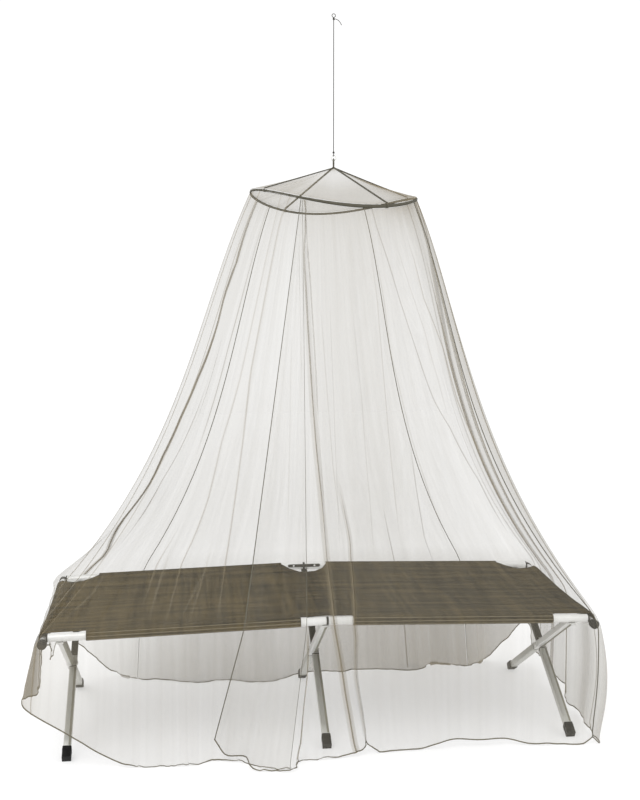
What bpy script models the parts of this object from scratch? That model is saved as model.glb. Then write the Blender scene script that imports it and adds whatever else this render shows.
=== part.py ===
# A hooped mosquito net hung over a folding camp bed.
# Metres, +Z up, +X along the bed, +Y away from the entrance side. The sizes below are measured from the
# floor under the middle of the bed.
import math

import bmesh
import bpy
import numpy as np
from mathutils import Matrix, Vector

# moves the finished pieces so that the origin is under the middle of the whole
FRAME_SHIFT = (0.0071, 0.0334, 0.0)

# ---- bed ----
RAIL_SPACING = 0.756
RAIL_RADIUS = 0.014
RAIL_END_X = 0.931
RAIL_END_HEIGHT = 0.4375
RAIL_RISE = 0.025            # the rails are this much higher at the middle joint
JOINT_X = 0.009
JOINT_WIDTH = 0.006
END_BAR_X = 0.948
END_BAR_HEIGHT = 0.4235
END_BAR_RADIUS = 0.0125
CAP_RADIUS = 0.0160
CAP_LENGTH = 0.024
HINGE_PLATE = (0.130, 0.003, 0.012)
FRAME_X = (-0.886, 0.005, 0.881)
LEG_WIDTH = 0.026
LEG_OFFSET = 0.005           # a leg's middle line is this far from its frame's middle
NOTCH_HALF = 0.0238          # half length of the notch in a leg where the other one crosses it
FOOT_SPACING = 0.725         # between the lower ends of the legs' middle lines
FOOT_WIDTH = 0.031
FOOT_LENGTH = 0.038          # along the leg
FOOT_WORN = 0.004            # height of the foot's lower corner that is cut flat on the floor
PIVOT_RADIUS = 0.008
PIVOT_HEAD = 0.003
CANVAS = 0.0016              # canvas thickness
CANVAS_SAG = 0.010
FRONT_EDGE = 0.352           # half width of the flat cloth where it has no sleeve
SLEEVE_REACH = (0.098, 0.805)    # the sleeves run between these distances from the middle
SLEEVE_MIDDLE = -0.083       # the bare part at the joint starts here
# the deck's back edge, which is cut away round the joint and at both ends: x, then the half width there
BACK_EDGE = (
    (-0.944, 0.300), (-0.905, 0.268), (-0.865, 0.274), (-0.830, 0.312), (-0.805, 0.352),
    (-0.620, 0.352), (-0.440, 0.352), (-0.260, 0.352), (-0.083, 0.352), (-0.058, 0.285),
    (-0.024, 0.238), (0.009, 0.228), (0.040, 0.238), (0.072, 0.276), (0.098, 0.352),
    (0.270, 0.352), (0.450, 0.352), (0.630, 0.352), (0.805, 0.352), (0.827, 0.304),
    (0.862, 0.260), (0.905, 0.268), (0.944, 0.300),
)
DECK_SHARES = (0.0, 0.35, 0.68, 0.88, 1.0)    # columns of the flat cloth
SLEEVE_EASE = 0.0014         # from the tube to the middle of the cloth round it
# the deck's turned-down ends: how far out and how far down from the edge
END_FOLD = ((0.009, 0.003), (0.016, 0.009), (0.0182, 0.018), (0.0182, 0.044))
GAP = 0.0003                 # between pieces that touch
RAIL_END_GAP = 0.0008        # at a rail's end, which isn't quite square to its neighbour

# ---- hoop and crown ----
HOOP_CENTRE = (0.078, -0.005)
HOOP_RADIUS = 0.298
HOOP_HEIGHT = 1.897
HOOP_TILT = 0.0106
HOOP_TILT_ANGLE = -69.0
HOOP_SADDLE = 0.0277
HOOP_SADDLE_ANGLE = -79.0
HOOP_TUBE = 0.0044
HOOP_BUNCH = 0.0022          # extra binding at the front right
HOOP_BUNCH_ANGLE = 15.0
HOOP_BUNCH_WIDTH = 38.0
APEX_HEIGHT = 2.014
APEX_HOLE = 0.010
CROWN_SAG = 0.010
CROWN_WRINKLE = 0.0035
CROWN_WRINKLES = 8
CROWN_STEPS = 48
CROWN_RADII = (0.05, 0.11, 0.17, 0.23, 0.275)
CROWN_OVERHANG = 0.002       # past the middle of the hoop's tube
HOOP_STEPS = 60
TAPE_ANGLE = 30.0
TAPE_ARMS = ((-60.0, 107.0), (30.0, 210.0))      # where the two tapes' ends meet the hoop
TAPE_WIDTH = 0.008
TAPE_THICK = 0.0012
TAPE_CLEARANCE = 0.0010      # between the crown and a tape
TAPE_OVERHANG = 0.001
TAPE_RADII = (0.275, 0.20, 0.11, 0.05, 0.018)

# ---- hanging gear ----
RING_CENTRE_Z = 2.0545
RING_MAJOR = 0.009
RING_MINOR = 0.0021
LOOP_TUBE = 0.0024
LOOP_HALF_WIDTH = 0.0070
CORD_RADIUS = 0.0015
KNOT_RADIUS = 0.0040
CORD_TOP_Z = 2.534
EYE_MAJOR = 0.0062
EYE_TUBE = 0.0013
CORD_STEPS = 50
# the cord's free end, from the side of the top knot
TAIL_STEPS = ((0.0, 0.0, 0.0), (0.003, 0.0, 0.0), (0.006, 0.0, -0.001), (0.0095, -0.0005, -0.0025),
              (0.013, -0.001, -0.005), (0.016, -0.001, -0.008), (0.019, -0.001, -0.012),
              (0.0215, -0.0005, -0.0163), (0.024, 0.0, -0.021))

# ---- net ----
NET = 0.0016                 # sheet thickness, with its hems
WALL_CLEARANCE = 0.0010      # between the hoop and the wall's top edge
FLOOR_LIE = 0.030            # length of net that lies on the floor inside the hem
BED_SLOPE_STEP = 0.5         # rows to each side that give the bed line's direction
HOVER_HEIGHT = 0.012         # a hem this high hangs clear of the floor
BOW = 0.180                  # inward bow of a hanging line, per metre of its outward run
SEAM_HALF = 0.012            # half gap at a seam, in rows of the table
OVERLAP_LIFT = 0.0040        # the front panel stands this far off the left one at the hoop
OVERLAP_ROWS = (8.0, 10.0)   # and comes back to the hoop between these rows

# Each row is one line of the net from the hoop to the hem: the angle at the hoop (0 in front, 90 at the
# right), where it passes the bed, its hem point, how much of the usual bow it has and how low that bow
# sits, how far its fold stands out and how far it bellies out below the bed.
WALL_COLUMNS = ("line", "angle", "bed_x", "bed_y", "bed_z", "hem_x", "hem_y", "hem_z", "bow", "power", "fold",
                "belly")
WALL_ROWS = (
    ("entrance edge",    -29.0, -0.280, -0.416, 0.455, -0.385, -0.437, 0.080, 0.00, 1.7, 0.000, 0.000),
    ("flap",             -28.7, -0.240, -0.416, 0.455, -0.345, -0.414, 0.014, 0.00, 1.7, 0.004, 0.000),
    ("flap",             -28.3, -0.195, -0.416, 0.455, -0.280, -0.434, 0.012, 0.00, 1.7, 0.000, 0.000),
    ("tongue",           -27.9, -0.150, -0.416, 0.455, -0.251, -0.516, 0.004, 0.10, 1.7, 0.006, 0.000),
    ("tongue",           -27.5, -0.105, -0.416, 0.455, -0.187, -0.534, 0.004, 0.10, 1.7, 0.000, 0.000),
    ("tongue",           -27.1, -0.062, -0.416, 0.455, -0.126, -0.538, 0.004, 0.20, 1.7, 0.006, 0.000),
    ("tuck",             -26.7, -0.030, -0.415, 0.455, -0.095, -0.460, 0.000, 0.20, 1.7, 0.000, 0.000),
    ("fold",             -26.3, -0.002, -0.414, 0.455, -0.010, -0.455, 0.000, 0.30, 1.7, 0.004, 0.000),
    ("centre band",      -25.5,  0.028, -0.412, 0.455,  0.110, -0.418, 0.014, 0.50, 1.7, 0.024, 0.000),
    ("hollow",           -12.0,  0.066, -0.410, 0.455,  0.138, -0.404, 0.030, 0.60, 1.7, 0.000, 0.000),
    ("centre fold",        2.0,  0.101, -0.411, 0.455,  0.160, -0.414, 0.026, 0.60, 1.7, 0.020, 0.000),
    ("hollow",             9.0,  0.155, -0.409, 0.455,  0.195, -0.424, 0.000, 0.60, 1.7, 0.000, 0.000),
    ("fold",              15.0,  0.225, -0.409, 0.455,  0.262, -0.404, 0.000, 0.70, 1.7, 0.014, 0.000),
    ("hollow",            21.0,  0.300, -0.409, 0.455,  0.325, -0.416, 0.000, 0.70, 1.7, 0.000, 0.000),
    ("fold",              27.0,  0.370, -0.409, 0.455,  0.385, -0.404, 0.016, 0.80, 1.7, 0.016, 0.000),
    ("hollow",            33.0,  0.445, -0.409, 0.455,  0.455, -0.402, 0.024, 0.80, 1.7, 0.000, 0.000),
    ("fold",              39.0,  0.530, -0.409, 0.455,  0.540, -0.402, 0.022, 0.90, 1.7, 0.014, 0.000),
    ("hollow",            45.0,  0.620, -0.409, 0.455,  0.635, -0.404, 0.018, 0.90, 1.7, 0.000, 0.000),
    ("fold",              50.0,  0.715, -0.409, 0.455,  0.720, -0.412, 0.003, 1.00, 1.7, 0.012, 0.000),
    ("hollow",            55.5,  0.810, -0.412, 0.450,  0.810, -0.428, 0.000, 1.00, 1.7, 0.000, 0.000),
    ("fold",              60.0,  0.900, -0.418, 0.450,  0.900, -0.434, 0.000, 1.00, 1.7, 0.008, 0.000),
    ("front right seam",  64.0,  0.956, -0.420, 0.446,  0.945, -0.420, 0.014, 1.00, 1.7, 0.000, 0.014),
    ("corner",            70.0,  0.965, -0.386, 0.446,  0.966, -0.434, 0.000, 0.82, 1.7, 0.006, 0.030),
    ("end",               78.0,  0.966, -0.305, 0.446,  0.968, -0.310, 0.006, 0.82, 1.7, 0.000, 0.024),
    ("end",               86.0,  0.966, -0.195, 0.446,  0.976, -0.190, 0.008, 0.82, 1.7, 0.010, 0.012),
    ("end",               92.0,  0.968, -0.080, 0.446,  0.970, -0.060, 0.018, 1.00, 1.7, 0.000, 0.000),
    ("right band",        97.0,  0.968,  0.040, 0.446,  0.980,  0.060, 0.040, 1.00, 1.7, 0.022, 0.000),
    ("right band",       102.0,  0.968,  0.150, 0.446,  0.972,  0.185, 0.050, 1.00, 1.7, 0.000, 0.000),
    ("right band",       107.0,  0.968,  0.255, 0.446,  0.982,  0.300, 0.048, 1.00, 1.7, 0.024, 0.000),
    ("end",              114.0,  0.971,  0.350, 0.446,  0.982,  0.400, 0.066, 1.00, 1.7, 0.000, 0.000),
    ("corner",           122.0,  0.968,  0.426, 0.446,  0.955,  0.445, 0.165, 1.00, 1.7, 0.018, 0.000),
    ("back",             130.0,  0.860,  0.414, 0.446,  0.878,  0.455, 0.095, 1.00, 1.7, 0.000, 0.000),
    ("back",             139.0,  0.760,  0.410, 0.455,  0.790,  0.462, 0.004, 1.00, 1.7, 0.014, 0.000),
    ("back right seam",  149.0,  0.667,  0.409, 0.455,  0.700,  0.405, 0.000, 1.00, 1.7, 0.000, 0.000),
    ("back",             156.0,  0.560,  0.409, 0.455,  0.585,  0.455, 0.000, 1.00, 1.7, 0.016, 0.000),
    ("back",             163.0,  0.440,  0.409, 0.455,  0.475,  0.385, 0.000, 1.00, 1.7, 0.000, 0.000),
    ("back",             171.0,  0.300,  0.409, 0.455,  0.325,  0.402, 0.000, 1.00, 1.7, 0.016, 0.000),
    ("back",             180.0,  0.150,  0.409, 0.455,  0.165,  0.412, 0.000, 1.00, 1.7, 0.000, 0.000),
    ("back",             189.0,  0.000,  0.409, 0.455,  0.011,  0.394, 0.000, 0.90, 1.7, 0.014, 0.000),
    ("back",             198.0, -0.160,  0.409, 0.455, -0.150,  0.318, 0.000, 0.90, 1.7, 0.000, 0.000),
    ("back",             206.0, -0.310,  0.409, 0.455, -0.300,  0.345, 0.000, 0.80, 1.7, 0.018, 0.000),
    ("back",             214.0, -0.450,  0.409, 0.455, -0.440,  0.350, 0.000, 0.80, 1.7, 0.000, 0.000),
    ("back",             221.0, -0.550,  0.409, 0.455, -0.560,  0.385, 0.000, 0.80, 1.7, 0.012, 0.000),
    ("back left seam",   226.0, -0.640,  0.409, 0.455, -0.665,  0.420, 0.000, 0.80, 1.7, 0.000, 0.000),
    ("back",             233.0, -0.745,  0.410, 0.450, -0.745,  0.465, 0.003, 0.90, 1.7, 0.014, 0.000),
    ("back",             240.0, -0.850,  0.415, 0.450, -0.820,  0.465, 0.065, 1.20, 1.7, 0.000, 0.000),
    ("left band",        248.0, -0.982,  0.420, 0.432, -0.925,  0.450, 0.165, 1.45, 1.7, 0.008, 0.000),
    ("end",              255.0, -0.978,  0.350, 0.436, -0.975,  0.365, 0.190, 1.30, 1.6, 0.000, 0.000),
    ("end",              262.0, -0.970,  0.215, 0.446, -0.982,  0.250, 0.150, 1.08, 1.6, 0.008, 0.000),
    ("end",              269.0, -0.966,  0.070, 0.446, -0.972,  0.085, 0.262, 0.80, 1.7, 0.000, 0.000),
    ("end",              276.0, -0.966, -0.090, 0.446, -0.982, -0.090, 0.285, 0.80, 1.7, 0.005, 0.000),
    ("end",              283.0, -0.966, -0.250, 0.446, -0.980, -0.235, 0.205, 0.80, 1.7, 0.000, 0.000),
    ("corner",           290.0, -0.967, -0.384, 0.446, -1.016, -0.425, 0.236, 0.90, 1.7, 0.002, 0.000),
    ("corner fold",      297.0, -0.958, -0.421, 0.446, -0.985, -0.445, 0.200, 0.92, 1.7, 0.000, 0.000),
    ("fold",             303.0, -0.860, -0.418, 0.446, -0.870, -0.436, 0.124, 0.90, 1.7, 0.012, 0.000),
    ("hollow",           308.0, -0.750, -0.409, 0.455, -0.760, -0.425, 0.040, 0.80, 1.7, 0.000, 0.000),
    ("fold",             312.0, -0.645, -0.405, 0.455, -0.655, -0.434, 0.000, 0.60, 1.7, 0.012, 0.000),
    ("hollow",           316.0, -0.550, -0.404, 0.455, -0.555, -0.448, 0.000, 0.50, 1.7, 0.000, 0.000),
    ("left fold",        320.0, -0.460, -0.404, 0.455, -0.460, -0.440, 0.000, 0.40, 1.7, 0.014, 0.000),
    ("hollow",           323.0, -0.370, -0.404, 0.455, -0.387, -0.421, 0.000, 0.30, 1.7, 0.000, 0.000),
    ("underlap",         325.5, -0.300, -0.403, 0.455, -0.332, -0.434, 0.000, 0.20, 1.7, 0.000, 0.000),
    ("underlap",         327.8, -0.220, -0.402, 0.455, -0.284, -0.450, 0.000, 0.10, 1.7, 0.000, 0.000),
    ("underlap",         330.0, -0.140, -0.401, 0.455, -0.200, -0.514, 0.000, 0.00, 1.7, 0.000, 0.000),
    ("inner edge",       332.0, -0.062, -0.400, 0.455, -0.130, -0.522, 0.000, 0.00, 1.7, 0.000, 0.000),
)
PANELS = (
    ("net_wall_front", "entrance edge", "front right seam"),
    ("net_wall_right", "front right seam", "back right seam"),
    ("net_wall_back", "back right seam", "back left seam"),
    ("net_wall_left", "back left seam", "inner edge"),
)
NORMAL_STEP = 0.05           # rows to each side that give the direction a fold stands out in
COLUMNS_PER_ROW = 2
UPPER_STEPS = (0.0, 0.035, 0.10, 0.18, 0.27, 0.37, 0.48, 0.59, 0.70, 0.80, 0.89, 0.955, 1.0)
LOWER_STEPS = (0.15, 0.42, 0.72, 1.0)
LOWER_FOLDS = (0.65, 0.80, 0.90, 0.90, 0.90)     # how strongly folds stand out at those steps and at the hem
FOLD_FULL_AT = 0.40          # share of the way to the bed where folds are at their deepest
FOLD_GROWTH = 0.8
FOLD_PRESS = 0.45            # how much of a fold the bed's edge presses flat

COLOURS = {
    "net": ((0.30, 0.28, 0.22), 0.85, 0.0),
    "olive_tape": ((0.075, 0.070, 0.045), 0.80, 0.0),
    "canvas": ((0.085, 0.075, 0.045), 0.90, 0.0),
    "aluminium": ((0.62, 0.62, 0.61), 0.35, 1.0),
    "black_plastic": ((0.015, 0.015, 0.015), 0.55, 0.0),
    "rubber": ((0.020, 0.020, 0.020), 0.75, 0.0),
    "clear_plastic": ((0.80, 0.80, 0.78), 0.30, 0.0),
    "cord": ((0.16, 0.15, 0.13), 0.80, 0.0),
}


def clear_scene():
    for obj in list(bpy.data.objects):
        bpy.data.objects.remove(obj, do_unlink=True)


def make_material(name):
    colour, roughness, metallic = COLOURS[name]
    mat = bpy.data.materials.new(name)
    mat.use_nodes = True
    shader = mat.node_tree.nodes["Principled BSDF"]
    shader.inputs["Base Color"].default_value = (*colour, 1.0)
    shader.inputs["Roughness"].default_value = roughness
    shader.inputs["Metallic"].default_value = metallic
    mat.diffuse_color = (*colour, 1.0)
    return mat


def add_object(name, verts, faces, material, smooth=True):
    mesh = bpy.data.meshes.new(name)
    mesh.from_pydata([tuple(v) for v in verts], [], faces)
    mesh.update()
    if smooth:
        mesh.shade_smooth()
        mesh.set_sharp_from_angle(angle=math.radians(35))
    obj = bpy.data.objects.new(name, mesh)
    bpy.context.collection.objects.link(obj)
    obj.data.materials.append(material)
    return obj


# ---------------------------------------------------------------- plain solids

BOX_FACES = [(0, 3, 2, 1), (4, 5, 6, 7), (0, 1, 5, 4), (1, 2, 6, 5), (2, 3, 7, 6), (3, 0, 4, 7)]


def tube_faces(rings, sides, closed):
    """Side faces of a tube whose vertices run ring by ring, with end caps when it is open."""
    faces = []
    last = rings if closed else rings - 1
    for i in range(last):
        a, b = i * sides, ((i + 1) % rings) * sides
        for j in range(sides):
            k = (j + 1) % sides
            faces.append((a + j, a + k, b + k, b + j))
    if not closed:
        faces.append(tuple(range(sides - 1, -1, -1)))
        faces.append(tuple(range((rings - 1) * sides, rings * sides)))
    return faces


def swept_tube(name, path, radii, sides, material, closed=False, start_normal=(0.0, 1.0, 0.0)):
    """A round tube along a list of points, with one radius for each."""
    path = [Vector(p) for p in path]
    count = len(path)
    normal = Vector(start_normal)
    verts = []
    for i, point in enumerate(path):
        if closed:
            tangent = path[(i + 1) % count] - path[i - 1]
        else:
            tangent = path[min(i + 1, count - 1)] - path[max(i - 1, 0)]
        tangent.normalize()
        normal = (normal - tangent * normal.dot(tangent)).normalized()
        side = tangent.cross(normal)
        for j in range(sides):
            turn = 2 * math.pi * (j + 0.5) / sides
            verts.append(point + (normal * math.cos(turn) + side * math.sin(turn)) * radii[i])
    return add_object(name, verts, tube_faces(count, sides, closed), material)


def rod(name, start, end, radius, sides, material):
    return swept_tube(name, [start, end], [radius] * 2, sides, material, start_normal=(0.0, 0.0, 1.0))


def ring(name, centre, major, minor, axis, material, steps=20, sides=8, stretch=1.0):
    """A torus about the X or Y axis, stretched in Z."""
    path = []
    for i in range(steps):
        turn = 2 * math.pi * i / steps
        across, up = major * math.cos(turn), major * stretch * math.sin(turn)
        offset = (0.0, across, up) if axis == "X" else (across, 0.0, up)
        path.append(Vector(centre) + Vector(offset))
    out = (1.0, 0.0, 0.0) if axis == "X" else (0.0, 1.0, 0.0)
    return swept_tube(name, path, [minor] * steps, sides, material, closed=True, start_normal=out)


def box_between(name, start, end, width, material):
    """A square bar from start to end, with two of its faces square to X."""
    side = Vector((1.0, 0.0, 0.0))
    up = (end - start).normalized().cross(side)
    half = width / 2
    verts = []
    for point in (start, end):
        for a, b in ((-1, -1), (1, -1), (1, 1), (-1, 1)):
            verts.append(point + side * (a * half) + up * (b * half))
    return add_object(name, verts, BOX_FACES, material, smooth=False)


def orient_outward(obj):
    bm = bmesh.new()
    bm.from_mesh(obj.data)
    bmesh.ops.recalc_face_normals(bm, faces=bm.faces)
    bm.to_mesh(obj.data)
    bm.free()


# ---------------------------------------------------------------- bed

def rail_z(x):
    return RAIL_END_HEIGHT + RAIL_RISE * (1 - abs(x - JOINT_X) / RAIL_END_X)


def make_rails(mats):
    """Each rail is two tubes that meet at a black joint, with a black plug against each end bar."""
    inner = JOINT_WIDTH / 2 + RAIL_END_GAP
    plug_end = END_BAR_X - END_BAR_RADIUS - GAP
    for side_name, y in (("front", -RAIL_SPACING / 2), ("back", RAIL_SPACING / 2)):
        for half_name, sign in (("left", -1), ("right", 1)):
            far_x, near_x = sign * RAIL_END_X, JOINT_X + sign * inner
            start, end = (far_x, y, rail_z(far_x)), (near_x, y, rail_z(near_x))
            rod(f"rail_{side_name}_{half_name}", start, end, RAIL_RADIUS, 16, mats["aluminium"])
            plug_start = sign * (RAIL_END_X + RAIL_END_GAP)
            rod(f"rail_plug_{side_name}_{half_name}", (plug_start, y, rail_z(far_x)),
                (sign * plug_end, y, rail_z(far_x)), RAIL_RADIUS, 16, mats["black_plastic"])
        z = rail_z(JOINT_X)
        rod(f"rail_joint_{side_name}", (JOINT_X - JOINT_WIDTH / 2, y, z), (JOINT_X + JOINT_WIDTH / 2, y, z),
            RAIL_RADIUS, 16, mats["black_plastic"])


def make_hinge_plates(mats):
    """A flat plate on the inner side of each rail, over the joint."""
    length, thick, height = HINGE_PLATE
    for side_name, sign in (("front", -1), ("back", 1)):
        y = sign * (RAIL_SPACING / 2 - RAIL_RADIUS - GAP - thick / 2)
        low = rail_z(JOINT_X + length / 2)
        verts = [(JOINT_X + a * length / 2, y + b * thick / 2, low + c * height)
                 for c in (0, 1) for a, b in ((-1, -1), (1, -1), (1, 1), (-1, 1))]
        add_object(f"hinge_plate_{side_name}", verts, BOX_FACES, mats["aluminium"], smooth=False)


def make_end_bars(mats):
    """A bar across each end with a black cap on both of its ends."""
    half = RAIL_SPACING / 2 + RAIL_RADIUS + GAP
    start = half + GAP
    for end_name, sign in (("left", -1), ("right", 1)):
        x, z = sign * END_BAR_X, END_BAR_HEIGHT
        rod(f"end_bar_{end_name}", (x, -half, z), (x, half, z), END_BAR_RADIUS, 14, mats["aluminium"])
        for side_name, way in (("front", -1), ("back", 1)):
            path = [(x, way * (start + CAP_LENGTH * share), z) for share in (0.0, 0.8, 1.0)]
            swept_tube(f"end_cap_{side_name}_{end_name}", path, [CAP_RADIUS, CAP_RADIUS, CAP_RADIUS * 0.8], 16,
                       mats["black_plastic"], start_normal=(0.0, 0.0, 1.0))


def leg_line(x0, way):
    """Lower end, upper end and direction of a leg's middle line, where an uncut foot's corner meets the floor."""
    x = x0 - LEG_OFFSET * way
    rail = Vector((x, -way * RAIL_SPACING / 2, rail_z(x0)))
    foot = Vector((x, way * FOOT_SPACING / 2, 0.0))
    for _ in range(6):
        along = (rail - foot).normalized()
        foot.z = FOOT_WIDTH / 2 * abs(along.y)
    return foot, rail, along


def notched_bar(name, start, end, middle, way, material):
    """A leg: a square bar whose inner side is notched where the other leg of its frame crosses it."""
    along = (end - start).normalized()
    side, half = Vector((1.0, 0.0, 0.0)), LEG_WIDTH / 2
    up = along.cross(side)
    length, centre = (end - start).length, (middle - start).length
    low, high = centre - NOTCH_HALF, centre + NOTCH_HALF
    inner, cut, outer = way * half, way * (LEG_OFFSET - GAP / 2), -way * half
    outline = ((0.0, inner), (low, inner), (low, cut), (high, cut), (high, inner), (length, inner),
               (length, outer), (high, outer), (low, outer), (0.0, outer))
    verts = [start + along * a + side * b + up * (c * half) for c in (-1, 1) for a, b in outline]
    count = len(outline)
    caps = ((0, 1, 2, 8, 9), (2, 3, 7, 8), (3, 4, 5, 6, 7))
    faces = [tuple(cap) for cap in caps] + [tuple(i + count for i in reversed(cap)) for cap in caps]
    faces += [(i, (i + 1) % count, count + (i + 1) % count, count + i) for i in range(count)]
    leg = add_object(name, verts, faces, material, smooth=False)
    orient_outward(leg)
    return leg


def make_legs(mats):
    """Three crossed frames. A leg runs from a foot on one side up to the rail on the other."""
    for name, x0 in zip(("left", "middle", "right"), FRAME_X):
        for leg_name, way in (("front", -1), ("back", 1)):
            foot, rail, along = leg_line(x0, way)
            foot_top = foot + along * FOOT_LENGTH
            crossing = foot.lerp(rail, crossing_share())
            leg = notched_bar(f"leg_{leg_name}_{name}", foot_top + along * GAP, rail + along * LEG_WIDTH, crossing,
                              way, mats["aluminium"])
            cut_flat(leg, rail.z - RAIL_RADIUS - GAP * 2)
            foot_end = foot - along * (FOOT_WORN / along.z)
            cut_flat(box_between(f"foot_{leg_name}_{name}", foot_end, foot_top, FOOT_WIDTH, mats["rubber"]), 0.0, 1)
        make_pivot(f"pivot_{name}", x0, mats["aluminium"])


def cut_flat(obj, height, keep=-1):
    """Take away what lies above a level, or below it where keep is 1, and close the cut."""
    bm = bmesh.new()
    bm.from_mesh(obj.data)
    geometry = bm.verts[:] + bm.edges[:] + bm.faces[:]
    cut = bmesh.ops.bisect_plane(bm, geom=geometry, plane_co=(0, 0, height), plane_no=(0, 0, -keep),
                                 clear_outer=True)
    edges = [e for e in cut["geom_cut"] if isinstance(e, bmesh.types.BMEdge)]
    bmesh.ops.contextual_create(bm, geom=edges)
    bmesh.ops.recalc_face_normals(bm, faces=bm.faces)
    bm.to_mesh(obj.data)
    bm.free()


def crossing_share():
    """How far up a leg the other leg of its frame crosses it, half way between the rails."""
    return (FOOT_SPACING / 2) / (FOOT_SPACING / 2 + RAIL_SPACING / 2)


def make_pivot(name, x0, material):
    foot, rail, _ = leg_line(x0, 1)
    z = foot.lerp(rail, crossing_share()).z
    outer = LEG_OFFSET + LEG_WIDTH / 2 + GAP
    rod(name, (x0 - outer - PIVOT_HEAD, 0.0, z), (x0 - outer, 0.0, z), PIVOT_RADIUS, 12, material)


def deck_section(side, edge):
    """Half of the deck's cross-section from the middle out: flat cloth, then the sleeve round the rail."""
    radius = RAIL_RADIUS + GAP + SLEEVE_EASE
    half = RAIL_SPACING / 2
    points = []
    for share in DECK_SHARES:
        y = edge * share
        points.append((side * y, radius - CANVAS_SAG * math.cos(math.pi / 2 * y / half) ** 2))
    for degrees in range(90, -135, -28):
        turn = math.radians(degrees)
        points.append((side * (half + radius * math.cos(turn)), radius * math.sin(turn)))
    return points


def make_canvas(mats):
    """The deck: one cloth with sleeves, left open where the rails are bare, and a short fold at each end."""
    flat_last = len(DECK_SHARES) - 1
    verts = []
    for x, edge in BACK_EDGE:
        section = deck_section(-1, FRONT_EDGE)[::-1] + deck_section(1, edge)[1:]
        verts += [(x, y, rail_z(x) + z) for y, z in section]
    count = len(section)
    middle = count // 2
    faces = []
    for i in range(len(BACK_EDGE) - 1):
        x = (BACK_EDGE[i][0] + BACK_EDGE[i + 1][0]) / 2
        bare = abs(x) > SLEEVE_REACH[1] or SLEEVE_MIDDLE < x < SLEEVE_REACH[0]
        for j in range(count - 1):
            if bare and max(abs(j - middle), abs(j + 1 - middle)) > flat_last:
                continue
            a, b = i * count + j, (i + 1) * count + j
            faces.append((a, b, b + 1, a + 1))
    for first, sign in ((0, -1), ((len(BACK_EDGE) - 1) * count, 1)):
        add_end_fold(verts, faces, range(first + middle - flat_last, first + middle + flat_last + 1), sign)
    obj = add_object("deck_canvas", verts, faces, mats["canvas"])
    remove_loose(obj)
    solid = obj.modifiers.new("thickness", "SOLIDIFY")
    solid.thickness = CANVAS
    solid.offset = 0.0
    solid.use_even_offset = True


def add_end_fold(verts, faces, edge, sign):
    """The cloth turns down over an end bar."""
    previous = list(edge)
    for out, drop in END_FOLD:
        row = []
        for index in edge:
            x, y, z = verts[index]
            row.append(len(verts))
            verts.append((x + sign * out, y, z - drop))
        for k in range(len(row) - 1):
            a, b, c, d = previous[k], previous[k + 1], row[k + 1], row[k]
            faces.append((a, b, c, d) if sign < 0 else (a, d, c, b))
        previous = row


def remove_loose(obj):
    bm = bmesh.new()
    bm.from_mesh(obj.data)
    loose = [v for v in bm.verts if not v.link_faces]
    bmesh.ops.delete(bm, geom=loose, context="VERTS")
    bmesh.ops.recalc_face_normals(bm, faces=bm.faces)
    bm.to_mesh(obj.data)
    bm.free()


# ---------------------------------------------------------------- hoop and crown

def hoop_z(degrees):
    tilt = HOOP_TILT * math.cos(math.radians(degrees - HOOP_TILT_ANGLE))
    saddle = HOOP_SADDLE * math.cos(2 * math.radians(degrees - HOOP_SADDLE_ANGLE))
    return HOOP_HEIGHT + tilt + saddle


def around_hoop(degrees, radius):
    turn = math.radians(degrees)
    return HOOP_CENTRE[0] + radius * math.sin(turn), HOOP_CENTRE[1] - radius * math.cos(turn)


def hoop_tube(degrees):
    away = (degrees - HOOP_BUNCH_ANGLE + 180) % 360 - 180
    return HOOP_TUBE + HOOP_BUNCH * math.exp(-(away / HOOP_BUNCH_WIDTH) ** 2)


def make_hoop(mats):
    angles = [360 * i / HOOP_STEPS for i in range(HOOP_STEPS)]
    path = [(*around_hoop(a, HOOP_RADIUS), hoop_z(a)) for a in angles]
    swept_tube("hoop", path, [hoop_tube(a) for a in angles], 8, mats["olive_tape"], closed=True,
               start_normal=(0.0, -1.0, 0.0))


def crown_z(degrees, radius):
    """Height of the crown's middle layer: taut under the tapes, slack and wrinkled between them."""
    edge = hoop_z(degrees) + hoop_tube(degrees) + GAP * 4 + NET / 2
    share = (radius - APEX_HOLE) / (HOOP_RADIUS - APEX_HOLE)
    slack = math.sin(math.radians(2 * (degrees - TAPE_ANGLE))) ** 2
    wrinkle = CROWN_WRINKLE * math.sin(math.radians(CROWN_WRINKLES * (degrees - TAPE_ANGLE))) * slack
    hang = (CROWN_SAG * slack + wrinkle) * math.sin(math.pi * share)
    return APEX_HEIGHT + (edge - APEX_HEIGHT) * share - hang


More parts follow.
